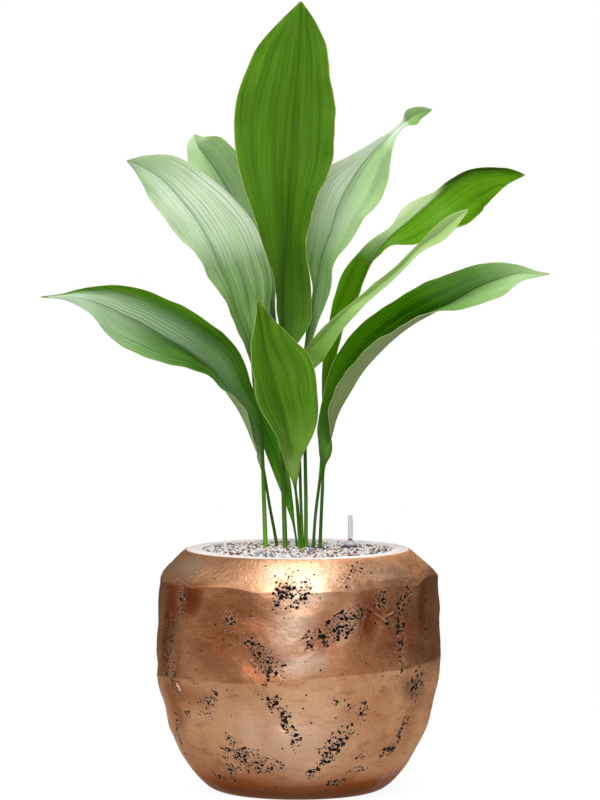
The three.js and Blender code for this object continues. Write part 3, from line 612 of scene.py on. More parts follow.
def copper_material():
    material, tree, shader = principled_material("pitted_copper", 0.4)
    clouds = object_noise(tree, 13, 5)
    smears = object_noise(tree, 48, 6, (1, 1, 2.2), 0.65)
    grain = object_noise(tree, 800, 3, roughness=0.7)
    dimples = object_noise(tree, 230, 3, roughness=0.6)
    scratches = object_noise(tree, 620, 4, (0.12, 0.5, 1), 0.7, math.radians(-24))
    density = attribute_value(tree, "pitting")
    tarnish_and_shade = attribute_value(tree, "tarnish_and_shade")
    lip = attribute_value(tree, "lip")

    # Copper with its stains, its tarnish and painted shade, painted highlights, its scratches and grain, and
    # the welts with painted highlight and painted shade
    copper = mix_colours(between(clouds, 0.35, 0.65), paint(*PLAIN_COPPER), paint(*BRIGHT_COPPER))
    copper = tint(copper, between(smears, 0.5, 0.75), BROWN_STAIN, 0.6)
    uneven_tarnish_and_shade = times(tarnish_and_shade, plus(times(smears, 0.5), 0.75), True)
    # Red tarnish, which also carries painted shade on the band, on the dark facets and on the sides.
    copper = tint(copper, uneven_tarnish_and_shade, RED_TARNISH_AND_SHADE)
    # Painted shade: a deep dark brown where the patches go above one, round the foot and on the darkest
    # facets.
    copper = tint(copper, minus(tarnish_and_shade, 1.0, True), DEEP_PAINTED_SHADE)
    # Painted highlights: paler copper where light falls on the chamfer and the front of the band.
    copper = tint(copper, attribute_value(tree, "painted_highlight"), HIGHLIGHT_COPPER)
    scratch_strength = minus(0.3, times(tarnish_and_shade, 0.22))
    copper = tint(copper, between(scratches, 0.52, 0.78), SCRATCH_AND_RIM_HIGHLIGHT_COPPER, scratch_strength)
    copper = tint(copper, between(grain, 0.5, 0.75), DIRT_IN_GRAIN, 0.45)
    # Painted highlight along the ridges of the welts.
    copper = tint(copper, attribute_value(tree, "welt"), WELT_PAINTED_HIGHLIGHT, 0.5)
    # Painted shade in the groove beside each welt.
    copper = tint(copper, attribute_value(tree, "crack"), CRACK_PAINTED_SHADE, 0.6)

    # Pits of two sizes and stray ones, with painted highlights on their rims where they are many
    coarse = pit_margin(tree, density, 185, 0.74)
    fine = pit_margin(tree, density, 340, 0.8)
    margin = maths("MAXIMUM", coarse, times(fine, 0.7))
    margin = maths("MAXIMUM", margin, stray_pit_margin(tree))
    hole = between(margin, 0.0, 0.05)
    pit_rim = minus(between(margin, -0.08, -0.01), hole, True)
    pit_rim = times(pit_rim, between(density, 0.02, 0.3))
    # Painted highlight on the pit rims.
    copper = tint(copper, pit_rim, SCRATCH_AND_RIM_HIGHLIGHT_COPPER, 0.28)
    copper = tint(copper, hole, PIT_BLACK)

    # The lip, painted pale and not metallic: a painted reflection of the white studio in the bare rim
    lip_streaks = between(object_noise(tree, 160, 4), 0.4, 0.7)
    lip_painted_reflection = mix_colours(lip_streaks, paint(*LIP_REFLECTION_WHITE), paint(*LIP_REFLECTION_GREY))
    feed(shader.inputs["Base Color"], mix_colours(lip, copper, lip_painted_reflection))

    # Metal, shine and relief
    bare = minus(1.0, maths("MAXIMUM", hole, lip), True)
    feed(shader.inputs["Metallic"], times(bare, 0.92))
    rough = plus(times(smears, 0.3), 0.23)
    feed(shader.inputs["Roughness"], plus(rough, times(hole, 0.4)))
    shader.inputs["Specular IOR Level"].default_value = 0.2
    shader.inputs["Specular Tint"].default_value = paint(*COPPER_GLINT)
    relief = plus(times(scratches, 0.5), times(grain, 0.5))
    relief = plus(relief, dimples)
    relief = plus(relief, times(pit_rim, 0.5))
    relief = minus(relief, times(hole, 2.2))
    add_bump(shader, relief, 0.6, 0.0012)
    return material


pot_shape, pot_marks = pot_places()
pot = roll_sheet("pot_shell", pot_shape, pot_marks)
bpy.ops.object.shade_smooth_by_angle(angle=math.radians(38))
pot.data.materials.append(copper_material())
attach(pot, "planter")
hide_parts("pot")

# Granulate
# Coarse mineral grains of 2 to 5 mm fill the pot to just under the lip: beige, pale blue grey and
# mauve brown, poured loose. The fill below them is one body.

# Sizes are in millimetres.
GRAIN_STEP = 4.0
GRAIN_ROW_STEP = GRAIN_STEP * 0.87
GRAIN_SCATTER = 0.8
GRAIN_FIELD_RADIUS = 110
GRAIN_LEVEL = 283.9
GRAIN_LEVEL_SCATTER = 0.9
GRAIN_HALF_SIZES = (1.3, 2.5)
GRAIN_SQUASH = (0.7, 1.15)
GRAIN_KNOBS = 0.12

# Of each kind of grain: its share, its light colour and its dark one.
GRAIN_COLOURS = {
    "beige": (0.42, (226, 214, 204), (182, 162, 148)),
    "pale_blue": (0.26, (214, 224, 228), (186, 196, 202)),
    "mauve": (0.32, (112, 84, 84), (70, 52, 54)),
}
FILL_COLOURS = ((150, 130, 120), (70, 58, 56))
grain_random = np.random.default_rng(42)

# Where the stalks and the gauge stand: x, y and how far the grains keep away.
CLEAR_SPOTS = [
    (-15, 30, 3.6), (-14, 66, 3), (-38, 22, 3.6), (-25, 44, 2.8), (10, 31, 3.3), (19, 11, 2.8),
    (6, 20, 2.8), (3, 8, 3.1), (27, 21, 3), (-1, 46, 2.2), (63, 35, 8.6),
]


def grain_material(name, light, dark):
    material, tree, shader = principled_material(name, 0.85)
    grit = object_noise(tree, 700, 4, roughness=0.7)
    patches = between(object_noise(tree, 150, 1), 0.35, 0.65)
    colour = mix_colours(patches, paint(*dark), paint(*light))
    colour = tint(colour, between(grit, 0.5, 0.8), dark, 0.4)
    feed(shader.inputs["Base Color"], colour)
    add_bump(shader, grit, 0.5, 0.0004)
    return material


def grain_spots():
    """Places for the grains on a jittered triangular grid, clear of the stalks and the gauge."""
    spots = []
    for row in range(int(2 * GRAIN_FIELD_RADIUS / GRAIN_ROW_STEP) + 1):
        y = -GRAIN_FIELD_RADIUS + row * GRAIN_ROW_STEP
        x = -GRAIN_FIELD_RADIUS + (row % 2) * GRAIN_STEP / 2
        while x <= GRAIN_FIELD_RADIUS:
            spot = np.array((x, y)) + grain_random.uniform(-GRAIN_SCATTER, GRAIN_SCATTER, 2)
            is_clear = all(math.dist(spot, place) > reach for *place, reach in CLEAR_SPOTS)
            if is_clear and np.linalg.norm(spot) <= GRAIN_FIELD_RADIUS:
                spots.append(spot)
            x += GRAIN_STEP
    return spots


def chip_grain(name):
    """A cube with its edges cut off, as a cleft grain has."""
    bpy.ops.object.select_all(action="DESELECT")
    bpy.ops.mesh.primitive_cube_add(size=2, location=(0, 0, 0))
    piece = bpy.context.object
    piece.name = name
    bpy.ops.object.mode_set(mode="EDIT")
    bpy.ops.mesh.select_all(action="SELECT")
    bpy.ops.mesh.bevel(offset=0.62, offset_type="OFFSET", segments=1, affect="EDGES")
    bpy.ops.mesh.quads_convert_to_tris()
    bpy.ops.object.mode_set(mode="OBJECT")
    return piece


def pour_grains(name, spots, light, dark):
    """Copies one grain to each spot with its own turn, size and knobs, and joins the copies."""
    piece = chip_grain(name)
    corners = np.array([vertex.co for vertex in piece.data.vertices])
    faces = np.array([polygon.vertices for polygon in piece.data.polygons])
    points, triangles = [], []
    for number, (x, y) in enumerate(spots):
        turn = Vector(grain_random.uniform(-1, 1, 3)).to_track_quat("X", "Z").to_matrix()
        size = grain_random.uniform(*GRAIN_HALF_SIZES) * grain_random.uniform(*GRAIN_SQUASH, 3)
        knobs = 1 + GRAIN_KNOBS * np.sin(corners * 3 + grain_random.uniform(0, 6, 3)).sum(axis=1)
        grain = (corners * knobs[:, None] * size) @ np.array(turn).T
        level = GRAIN_LEVEL + grain_random.uniform(-GRAIN_LEVEL_SCATTER, GRAIN_LEVEL_SCATTER)
        points.append(grain + (x, y, level))
        triangles.append(faces + number * len(corners))
    mesh = bpy.data.meshes.new(name)
    mesh.from_pydata(np.concatenate(points) * MM, [], np.concatenate(triangles).tolist())
    piece.data = mesh
    mesh.materials.append(grain_material(name + "_mineral", light, dark))
    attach(piece, "planter")


all_spots = grain_spots()
grain_shares = [share for share, _, _ in GRAIN_COLOURS.values()]
grain_kinds = grain_random.choice(len(GRAIN_COLOURS), len(all_spots), p=grain_shares)
for kind, (colour_name, (_, light, dark)) in enumerate(GRAIN_COLOURS.items()):
    own_spots = [spot for spot, own in zip(all_spots, grain_kinds) if own == kind]
    pour_grains("grains_" + colour_name, own_spots, light, dark)

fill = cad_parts["granulate"]
fill.data.materials.clear()
fill.data.materials.append(grain_material("fill_mineral", *FILL_COLOURS))

# Leaves
# Each leaf is one growth: a round stalk that opens into a long blade, folded along its midrib near
# the stalk and flatter towards the tip. Fine pleats run from end to end, and the thin margins wave.

# Sizes are in millimetres.
STALK_END_HEIGHT = 273
BLADE_HALF_THICKNESS = 0.42
MARGIN_HALF_THICKNESS = 0.22
RIB_HALF_THICKNESS_AT_STALK = 2.0
RIB_HALF_THICKNESS_AT_TIP = 0.3
RIB_SPREAD = 2.6
TIP_HALF_WIDTH = 0.6
HALF_ARCH_DEGREES = 12
WAVE_HEIGHT = 1.6
WAVE_LENGTH = 72
RIPPLE_HEIGHT = 0.5
RIPPLE_LENGTH = 27
STALK_TO_BLADE = 45
FULL_WAVE_WIDTH = 30
FULL_TILT_WIDTH = 6
TANGENT_REACH = 7
COLUMNS_PER_HALF = 36
NORMAL_REACH = 4
STALK_ROWS = 16
BLADE_ROW_STEP = 3.2
PLEATS_PER_HALF = 9
SHEEN_AND_BLOOM_BLEND = 0.06

# Stalk places are (x, y, z, radius). Blade places are the place on the midrib, then the width of each
# half and its tilt towards the viewer in degrees. The last place is the tip.
LEAF_SHAPES = {
    "leaf_tall": (
        [(-15, 30, 288, 2.7), (-18, 26, 402, 2.4), (-19, 25, 462, 2.4)],
        [
            (-18, 25, 507, 9, 60, 9, 50), (-17, 25, 553, 28, 80, 33, 14), (-16, 26, 585, 33, 73, 34, 20),
            (-14, 29, 628, 38, 56, 37, 45), (-13, 31, 652, 44, 44, 41, 56), (-11, 36, 691, 54, 30, 53, 53),
            (-8, 42, 739, 66, 14, 66, 44), (-6, 48, 772, 71, 12, 71, 45), (-4, 54, 808, 71, 12, 68, 46),
            (0, 60, 844, 63, 12, 59, 49), (3, 66, 879, 50, 10, 46, 50), (4, 71, 910, 26, 10, 26, 50),
        ],
        (4, 75, 935),
    ),
    "leaf_back_left": (
        [(-14, 66, 288, 2.1), (-18, 70, 387, 2), (-23, 76, 483, 2.4)],
        [
            (-25, 80, 530, 17, 60, 6, 66), (-33, 88, 578, 33, 45, 9, 45), (-44, 97, 624, 45, 30, 28, 35),
            (-62, 105, 668, 52, 25, 45, 35), (-79, 114, 702, 52, 25, 47, 40), (-96, 122, 730, 42, 28, 48, 46),
            (-110, 129, 749, 28, 35, 40, 42), (-120, 134, 762, 17, 40, 21, 38),
            (-123.5, 138, 771, 7, 20, 9, 20),
        ],
        (-124, 140, 776),
    ),
    "leaf_upper_left": (
        [(-38, 22, 288, 2.7), (-40, 14, 350, 2.4), (-42, 4, 410, 2.1), (-46, -8, 458, 2.4)],
        [
            (-50, -18, 500, 9, 65, 9, 50), (-57, -27, 534, 19, 70, 24, 20), (-70, -34, 567, 26, 76, 40, 10),
            (-79, -41, 597, 31, 68, 51, 10), (-87, -45, 615, 33, 64, 55, 10), (-100, -53, 646, 35, 58, 57, 8),
            (-116, -62, 675, 37, 45, 52, 8), (-130, -70, 695, 37, 40, 45, 10),
            (-159, -86, 727, 28, 25, 33, 10), (-182, -97, 741, 12, 20, 14, 10),
        ],
        (-197, -104, 747),
    ),
    "leaf_lower_left": (
        [(-25, 44, 288, 1.9), (-33, 40, 333, 1.8), (-39, 36, 369, 1.9)],
        [
            (-46, 33, 396, 5, 90, 5, 30), (-54, 31, 416, 14, 100, 14, 20), (-62, 28, 435, 24, 102, 21, 20),
            (-72, 24, 454, 31, 102, 28, 22), (-85, 19, 473, 37, 100, 35, 22), (-100, 12, 497, 41, 82, 41, 20),
            (-118, 4, 511, 45, 80, 46, 16), (-133, -3, 523, 46, 75, 46, 18), (-163, -17, 542, 45, 52, 46, 18),
            (-185, -27, 556, 41, 38, 42, 18), (-201, -34, 564, 35, 25, 39, 15),
            (-222, -42, 575, 26, 18, 30, 12), (-240, -49, 582, 15, 20, 20, 10), (-260, -56, 587, 8, 10, 9, 0),
            (-275, -61, 588, 3.5, 0, 3.5, 0),
        ],
        (-299, -68, 588),
    ),
    "leaf_upper_right": (
        [(10, 31, 288, 2.4), (10, 32, 343, 2.2), (9, 34, 406, 2.1), (9, 37, 461, 2.3)],
        [
            (11, 42, 520, 7, 60, 7, 50), (15, 48, 553, 11, 70, 13, 40), (20, 54, 582, 14, 76, 18, 30),
            (24, 58, 601, 20, 62, 20, 35), (27, 63, 620, 25, 46, 21, 42), (32, 68, 639, 31, 40, 27, 40),
            (40, 75, 661, 37, 32, 34, 36), (47, 82, 686, 42, 30, 42, 30), (56, 89, 706, 44, 28, 47, 28),
            (68, 97, 727, 33, 42, 44, 26), (82, 105, 746, 19, 46, 37, 29), (100, 113, 765, 10, 46, 20, 37),
            (116, 119, 779, 4.5, 46, 7, 42), (127, 123, 789, 5, 45, 5.5, 36), (136, 126, 796, 11, 20, 12, 25),
            (145, 129, 801, 9, 15, 8, 20), (154, 131, 804, 5.5, 10, 4.5, 10),
        ],
        (162, 134, 806),
    ),
    "leaf_right": (
        [(19, 11, 288, 1.9), (20.5, 18, 315, 1.8), (22.5, 22, 335, 1.8), (27, 25, 370, 1.9)],
        [
            (30, 28, 400, 3, 30, 3, 30), (33, 31, 438, 8, 60, 8, 70), (37, 34, 476, 10, 35, 14, 80),
            (43, 38, 511, 14, 24, 20, 86), (53, 42, 544, 19, 24, 26, 88), (65, 45, 573, 26, 24, 32, 90),
            (77, 49, 600, 29, 22, 38, 90), (89, 53, 625, 22, 26, 42, 88), (102, 56, 644, 19, 38, 47, 84),
            (116, 59, 660, 11, 34, 50, 60), (134, 62, 675, 18, 31, 52, 52), (151, 65, 690, 15, 30, 53, 42),
            (168, 68, 706, 6, 37, 54, 22), (187, 71, 723, 9, 75, 52, 10), (206, 73, 733, 8, 75, 49, 10),
            (225, 75, 736, 7, 75, 43, 10), (242, 76, 735, 6, 70, 31, 12), (256, 77, 732, 4, 65, 15, 15),
        ],
        (272, 78, 728),
    ),
    "leaf_right_front": (
        [(6, 20, 288, 1.9), (4, 18, 342, 1.8), (3, 14, 378, 1.8), (2, 8, 427, 1.9)],
        [
            (2, 0, 469, 3, 20, 3, 20), (5, -9, 497, 7, 50, 11, 33), (12, -18, 521, 4, 40, 21, 12),
            (28, -28, 539, 8, 36, 19, 26), (46, -38, 560, 6, 45, 15, 34), (65, -49, 578, 3, 60, 14, 41),
            (91, -62, 598, 7, 40, 9, 46), (119, -78, 623, 6, 44, 8, 50), (142, -94, 647, 5, 44, 8, 50),
            (165, -106, 665, 10, 32, 13, 40), (182, -116, 680, 8, 28, 9, 30),
        ],
        (197, -126, 691),
    ),
    "leaf_young": (
        [(3, 8, 288, 2.2), (0, 3, 336, 2), (-3, -2, 364, 2.4)],
        [
            (-5, -9, 389, 12, 45, 9, 45), (-11, -20, 424, 30, 70, 32, 5), (-15, -27, 444, 39, 66, 41, 5),
            (-21, -35, 463, 44, 63, 46, 5), (-30, -48, 496, 47, 61, 50, 0), (-37, -59, 521, 42, 62, 42, 0),
            (-41, -69, 545, 30, 64, 28, 5), (-44, -78, 566, 13, 64, 12, 10),
        ],
        (-46, -86, 584),
    ),
    "leaf_lower_right": (
        [(27, 21, 288, 2.1), (28, 17, 320, 2), (29.5, 15, 353, 2), (31, 14, 384, 2.3)],
        [
            (33, 13, 398, 8, 40, 6, 70), (40, 9, 422, 19, 30, 17, 90), (48, 4, 448, 25, 28, 28, 116),
            (60, 0, 470, 33, 26, 35, 116), (77, -6, 498, 40, 25, 41, 115), (96, -13, 520, 44, 25, 44, 110),
            (116, -20, 539, 44, 30, 44, 105), (137, -28, 555, 45, 34, 44, 102),
            (158, -36, 567, 45, 34, 42, 97), (180, -43, 580, 41, 30, 39, 86), (208, -52, 597, 32, 25, 33, 60),
            (236, -61, 609, 22, 20, 24, 35), (259, -67, 615, 11, 10, 11, 30), (278, -72, 615, 4, 10, 4.5, 20),
        ],
        (293, -76, 615),
    ),
    "leaf_inner": (
        [(-1, 46, 288, 1.2), (-4, 50, 309, 1.5)],
        [
            (-7, 53, 324, 3, 30, 3, 30), (-14, 58, 354, 8, 30, 8, 30), (-23, 63, 383, 11, 30, 12, 30),
            (-32, 67, 411, 12, 30, 13, 25), (-39, 70, 431, 7, 20, 7, 20),
        ],
        (-43, 72, 447),
    ),
}


def leaf_places(stalk, blade, tip):
    foot, last_blade = stalk[0], blade[-1]
    rows = [(foot[0], foot[1], STALK_END_HEIGHT, foot[3], 0, foot[3], 0)]
    rows += [(x, y, z, radius, 0, radius, 0) for x, y, z, radius in stalk]
    rows += blade
    rows.append((*tip, TIP_HALF_WIDTH, last_blade[4], TIP_HALF_WIDTH, last_blade[6]))
    return np.array(rows, float)


def sheen_and_bloom_mark(look, along, across):
    """How far the waxy bloom and painted sheen cover each point: read along the half it lies on, and faded
    towards the margin.
    """
    covers = []
    for half, fade in zip(("left", "right"), look["fades"]):
        stops, shares = np.transpose(look[half])
        cover = np.interp(along, stops, shares)[:, None]
        covers.append(cover * (1 - fade * smooth_step((np.abs(across) - 0.25) / 0.6)))
    right_share = smooth_step((across + SHEEN_AND_BLOOM_BLEND) / (2 * SHEEN_AND_BLOOM_BLEND))
    return covers[0] * (1 - right_share) + covers[1] * right_share


def section_ways(places, distances, stops):
    """The directions to the side and to the front of the section at each stop."""
    before = read_places(places, distances, np.maximum(stops - TANGENT_REACH, 0))
    after = read_places(places, distances, np.minimum(stops + TANGENT_REACH, distances[-1]))
    tangent = (after - before)[:, :3]
    tangent /= np.linalg.norm(tangent, axis=1)[:, None]
    side = np.cross((0, 1, 0), tangent)
    side /= np.linalg.norm(side, axis=1)[:, None]
    return side, np.cross(side, tangent)


def leaf_half(direction, width, tilt, stops, along, opened, pleat_height, seed):
    """One half of all sections: its points sideways and forward from the midrib, and how far each
    lies from the midrib over the blade."""
    step = np.arange(1, COLUMNS_PER_HALF + 1)
    share = step / COLUMNS_PER_HALF
    width, tilt, stop = width[:, None], tilt[:, None], stops[:, None]
    arch = HALF_ARCH_DEGREES * ((step - 0.5) / COLUMNS_PER_HALF - 0.5)
    angle = np.radians(tilt * np.minimum(width / FULL_TILT_WIDTH, 1) - arch)
    sideways = np.cumsum(direction * width * np.cos(angle) / COLUMNS_PER_HALF, axis=1)
    forward = np.cumsum(width * np.sin(angle) / COLUMNS_PER_HALF, axis=1)

    # The margin waves and ripples. The pleats wander along the leaf and are uneven across it, and fade
    # towards its ends, its midrib and its margins.
    turn = 2 * math.pi
    wave = WAVE_HEIGHT * np.sin(stop / WAVE_LENGTH * turn + 2 * direction) * share**3
    ripple = RIPPLE_HEIGHT * np.sin(stop / RIPPLE_LENGTH * turn + seed + direction) * share**6
    pleat_turns = share * PLEATS_PER_HALF * turn
    pleat = np.sin(pleat_turns + 1.2 * np.sin(stop / 60 + seed) + 1.5 * np.sin(5 * share + seed))
    pleat += 0.8 * np.sin(pleat_turns * 0.37 + seed * direction + stop / 90)
    to_ends = np.sin(np.pi * np.clip(along, 0, 1))[:, None] ** 0.5
    to_sides = np.minimum(share * 4, 1) * (1 - 0.7 * share**4)
    breadth_share = np.minimum(width / FULL_WAVE_WIDTH, 1)
    pleat *= pleat_height * to_ends * to_sides * breadth_share
    lift = opened * (wave + ripple + pleat) * breadth_share
    points = np.stack([sideways - direction * lift * np.sin(angle), forward + lift * np.cos(angle)], -1)
    return points, width * share


def sheet_normals(points):
    """The direction square to each section's line, evened out over a few points."""
    number = np.arange(points.shape[1])
    from_before = points - points[:, np.maximum(number - NORMAL_REACH, 0)]
    to_after = points[:, np.minimum(number + NORMAL_REACH, number[-1])] - points
    way = 0
    for part in (from_before, to_after):
        way = way + part / np.maximum(np.linalg.norm(part, axis=2), 1e-9)[..., None]
    way /= np.linalg.norm(way, axis=2)[..., None]
    return np.stack([-way[..., 1], way[..., 0]], -1)


def both_faces(upper, under):
    """The columns of the upper face, those of the under face on the way back, and the first again."""
    return np.concatenate([upper, under[:, ::-1], upper[:, :1]], axis=1)


def grow_leaf(name, stalk, blade, tip, look, seed):
    """Reads the leaf's places row by row and rolls a sheet of two faces round each section."""
    places = leaf_places(stalk, blade, tip)
    distances = lengths_along(places[:, :3])
    surface, start, end = distances[1], distances[len(stalk)], distances[-1]
    stalk_stops = surface + (start - surface) * np.arange(STALK_ROWS) / STALK_ROWS
    blade_rows = int((end - start) / BLADE_ROW_STEP)
    blade_stops = start + (end - start) * np.arange(blade_rows + 1) / blade_rows
    stops = np.concatenate([[0], stalk_stops, blade_stops])
    along = (stops - start) / (end - start)
    opened = smooth_step((stops - start) / STALK_TO_BLADE)[:, None]
    values = read_places(places, distances, stops)
    left_width, right_width = values[:, 3:4], values[:, 5:6]

    rows = (stops, along, opened, look["pleat"], seed)
    left, left_breadth = leaf_half(-1, values[:, 3], values[:, 4], *rows)
    right, right_breadth = leaf_half(1, values[:, 5], values[:, 6], *rows)
    midrib = np.zeros((len(stops), 1, 2))
    points = np.concatenate([left[:, ::-1], midrib, right], axis=1)
    breadth = np.concatenate([left_breadth[:, ::-1], midrib[..., 0], right_breadth], axis=1)
    normal = sheet_normals(points)
    columns = np.linspace(-1, 1, 2 * COLUMNS_PER_HALF + 1)
    thickness = BLADE_HALF_THICKNESS + (MARGIN_HALF_THICKNESS - BLADE_HALF_THICKNESS) * columns**2
    rib = np.interp(along, (0, 1), (RIB_HALF_THICKNESS_AT_STALK, RIB_HALF_THICKNESS_AT_TIP))
    keel = thickness + rib[:, None] * np.exp(-((breadth / RIB_SPREAD) ** 2))

    number = np.arange(len(columns))
    round_angle = math.pi * (number + 0.5) / len(columns)
    round_side, round_front = -np.cos(round_angle) * left_width, np.sin(round_angle) * left_width
    stalk_upper = np.stack([round_side, round_front], -1)
    stalk_under = np.stack([round_side, -round_front], -1)
    upper = stalk_upper + (points + normal * thickness[:, None] - stalk_upper) * opened[..., None]
    under = stalk_under + (points - normal * keel[..., None] - stalk_under) * opened[..., None]
    section = both_faces(upper, under)
    side, front = section_ways(places, distances, stops)
    ring = values[:, None, :3] + section[..., :1] * side[:, None] + section[..., 1:] * front[:, None]
    ends = [np.broadcast_to(ring[row, :-1].mean(axis=0), ring[:1].shape) for row in (0, -1)]

    across_mark = both_faces(columns[None], columns[None])[0]
    face_mark = both_faces(np.ones((1, len(columns))), np.zeros((1, len(columns))))
    own_width = np.where(number <= COLUMNS_PER_HALF, left_width, right_width)
    broadness = np.minimum(own_width / FULL_WAVE_WIDTH, 1)
    broadness = both_faces(broadness, broadness)
    along_mark = np.concatenate([along[:1], along, along[-1:]])
    shape = (len(along_mark), len(across_mark))
    return roll_sheet(name, np.concatenate([ends[0], ring, ends[1]]), {
        "across": np.broadcast_to(across_mark, shape),
        "face": np.broadcast_to(face_mark, shape),
        "along": np.broadcast_to(along_mark[:, None], shape),
        "sheen_and_bloom": sheen_and_bloom_mark(look, along_mark, across_mark),
        "broadness": np.concatenate([broadness[:1], broadness, broadness[-1:]]),
    })


# The looks of each leaf: colours of the upper face, its dark streaks, its pale bloom of wax with painted
# sheen laid into it, and the underside. Then how far the bloom and painted sheen cover the left and the right
# half, each at places along the blade from its start to its tip, how much they fade towards the left and
# right margin, how strong the dark lines along the veins are, how high the pleats stand in millimetres, and
# how much of the blade is a dry tip.
# A look may also have a colour for its vein lines, and the start and colour of a turned tip.
LEAF_LOOKS = {
    "leaf_tall": {
        "upper": (67, 105, 19), "dark": (52, 87, 12), "sheen_and_bloom": (84, 108, 56), "under": (120, 150, 90),
        "left": [(0, 0.6), (0.25, 0.2), (0.45, 0.05), (1, 0)],
        "right": [(0, 0.6), (0.25, 0.2), (0.4, 0), (1, 0)],
        "fades": (0, 0), "lines": 0.3, "pleat": 0.1, "dry": 0.004, "vein": (92, 134, 34),
    },
    "leaf_back_left": {
        "upper": (112, 144, 82), "dark": (66, 100, 52), "sheen_and_bloom": (166, 190, 150), "under": (130, 158, 110),
        "left": [(0, 0.4), (0.6, 0.5), (1, 0.8)], "right": [(0, 0.3), (0.6, 0.5), (1, 0.5)],
        "fades": (0, 0), "lines": 0.8, "pleat": 0.25, "dry": 0.006,
    },
    "leaf_upper_left": {
        "upper": (122, 156, 86), "dark": (70, 104, 52), "sheen_and_bloom": (212, 230, 206), "under": (150, 178, 116),
        "left": [(0, 0), (0.35, 0), (0.5, 0.25), (0.65, 0.8), (0.8, 1.0), (0.92, 0.6), (1, 0.2)],
        "right": [(0, 0), (0.35, 0.03), (0.48, 0.2), (0.6, 0.75), (0.75, 1.0), (0.88, 0.6), (1, 0.2)],
        "fades": (0.4, 0), "lines": 0.75, "pleat": 0.25, "dry": 0.005,
    },
    "leaf_lower_left": {
        "upper": (72, 116, 20), "dark": (44, 84, 16), "sheen_and_bloom": (214, 236, 206), "under": (146, 172, 112),
        "left": [(0, 0.25), (0.3, 0.15), (0.45, 0), (0.56, 0.05), (0.66, 0.2), (0.75, 0.36), (1, 0.6)],
        "right": [(0, 0.25), (0.3, 0.15), (0.5, 0.35), (0.65, 0.45), (0.75, 0.55), (0.88, 0.75), (1, 0.75)],
        "fades": (0, 1), "lines": 0.95, "pleat": 0.25, "dry": 0.03,
    },
    "leaf_upper_right": {
        "upper": (116, 150, 80), "dark": (84, 120, 66), "sheen_and_bloom": (220, 234, 216), "under": (196, 216, 160),
        "left": [(0, 0), (0.4, 0.05), (0.52, 0.5), (0.65, 1.0), (1, 0.9)],
        "right": [(0, 0), (0.4, 0.1), (0.52, 0.45), (0.65, 0.3), (0.8, 0.2), (0.88, 0.7), (1, 0.6)],
        "fades": (0, 0.5), "lines": 0.7, "pleat": 0.2, "dry": 0.004, "turned_tip": (0.9, (94, 136, 48)),
    },
    "leaf_right": {
        "upper": (80, 126, 12), "dark": (58, 102, 4), "sheen_and_bloom": (214, 236, 184), "under": (226, 242, 204),
        "left": [(0, 0), (0.53, 0), (0.62, 0.9), (0.75, 1), (0.8, 0.1), (1, 0)], "right": [(0, 0), (1, 0)],
        "fades": (0, 0), "lines": 0.25, "pleat": 0.1, "dry": 0.008,
    },
    "leaf_right_front": {
        "upper": (100, 142, 46), "dark": (90, 130, 42), "sheen_and_bloom": (186, 216, 146), "under": (146, 184, 92),
        "left": [(0, 0), (0.3, 0.1), (0.5, 0.4), (0.75, 0.5), (1, 0.6)],
        "right": [(0, 0), (0.3, 0.1), (0.5, 0.4), (0.75, 0.6), (1, 0.6)],
        "fades": (0, 0), "lines": 0.25, "pleat": 0.15, "dry": 0.003,
    },
    "leaf_young": {
        "upper": (87, 130, 28), "dark": (62, 102, 18), "sheen_and_bloom": (136, 166, 86), "under": (126, 160, 74),
        "left": [(0, 0.8), (0.2, 0.3), (0.4, 0), (1, 0)], "right": [(0, 0.8), (0.2, 0.3), (0.4, 0), (1, 0)],
        "fades": (0, 0), "lines": 0.4, "pleat": 0.18, "dry": 0.004, "vein": (124, 160, 66),
    },
    "leaf_lower_right": {
        "upper": (62, 110, 4), "dark": (44, 88, 2), "sheen_and_bloom": (170, 200, 144), "under": (146, 158, 108),
        "left": [(0, 0.1), (0.3, 0), (0.6, 0), (0.78, 0.2), (0.88, 0.5), (0.96, 0.8), (1, 0.5)],
        "right": [(0, 0.1), (0.5, 0), (0.68, 0.2), (0.8, 0.4), (0.9, 0.7), (1, 0.7)],
        "fades": (0, 0), "lines": 0.3, "pleat": 0.15, "dry": 0.006,
    },
    "leaf_inner": {
        "upper": (72, 128, 24), "dark": (52, 104, 14), "sheen_and_bloom": (120, 156, 80), "under": (104, 144, 56),
        "left": [(0, 0.1), (1, 0)], "right": [(0, 0.1), (1, 0)],
        "fades": (0, 0), "lines": 0.3, "pleat": 0.1, "dry": 0.004,
    },
}
DRY_MARGIN = (208, 200, 140)
DRY_TIP = (140, 118, 78)
LEAF_GLINT = (196, 226, 130)
STALK_GREEN_AND_SIDE_SHADE = (50, 86, 22)
STALK_HIGHLIGHT_GREEN = (112, 176, 48)
VEINS_PER_HALF = 11


def streaks_along(across, along, fineness, length, offset, detail=2.0):
    """Noise drawn out along the leaf, so that it runs as the veins do."""
    tree = across.id_data
    side_way, long_way = times(across, fineness), times(along, length)
    place = add_node(tree, "ShaderNodeCombineXYZ", X=side_way, Y=long_way, Z=offset)
    noise = add_node(tree, "ShaderNodeTexNoise", Vector=place.outputs[0], Scale=1.0, Detail=detail)
    return noise.outputs["Fac"]


def calmed(noise, share):
    """The noise drawn towards its mean of a half where the share is low."""
    return plus(times(minus(noise, 0.5), share), 0.5)


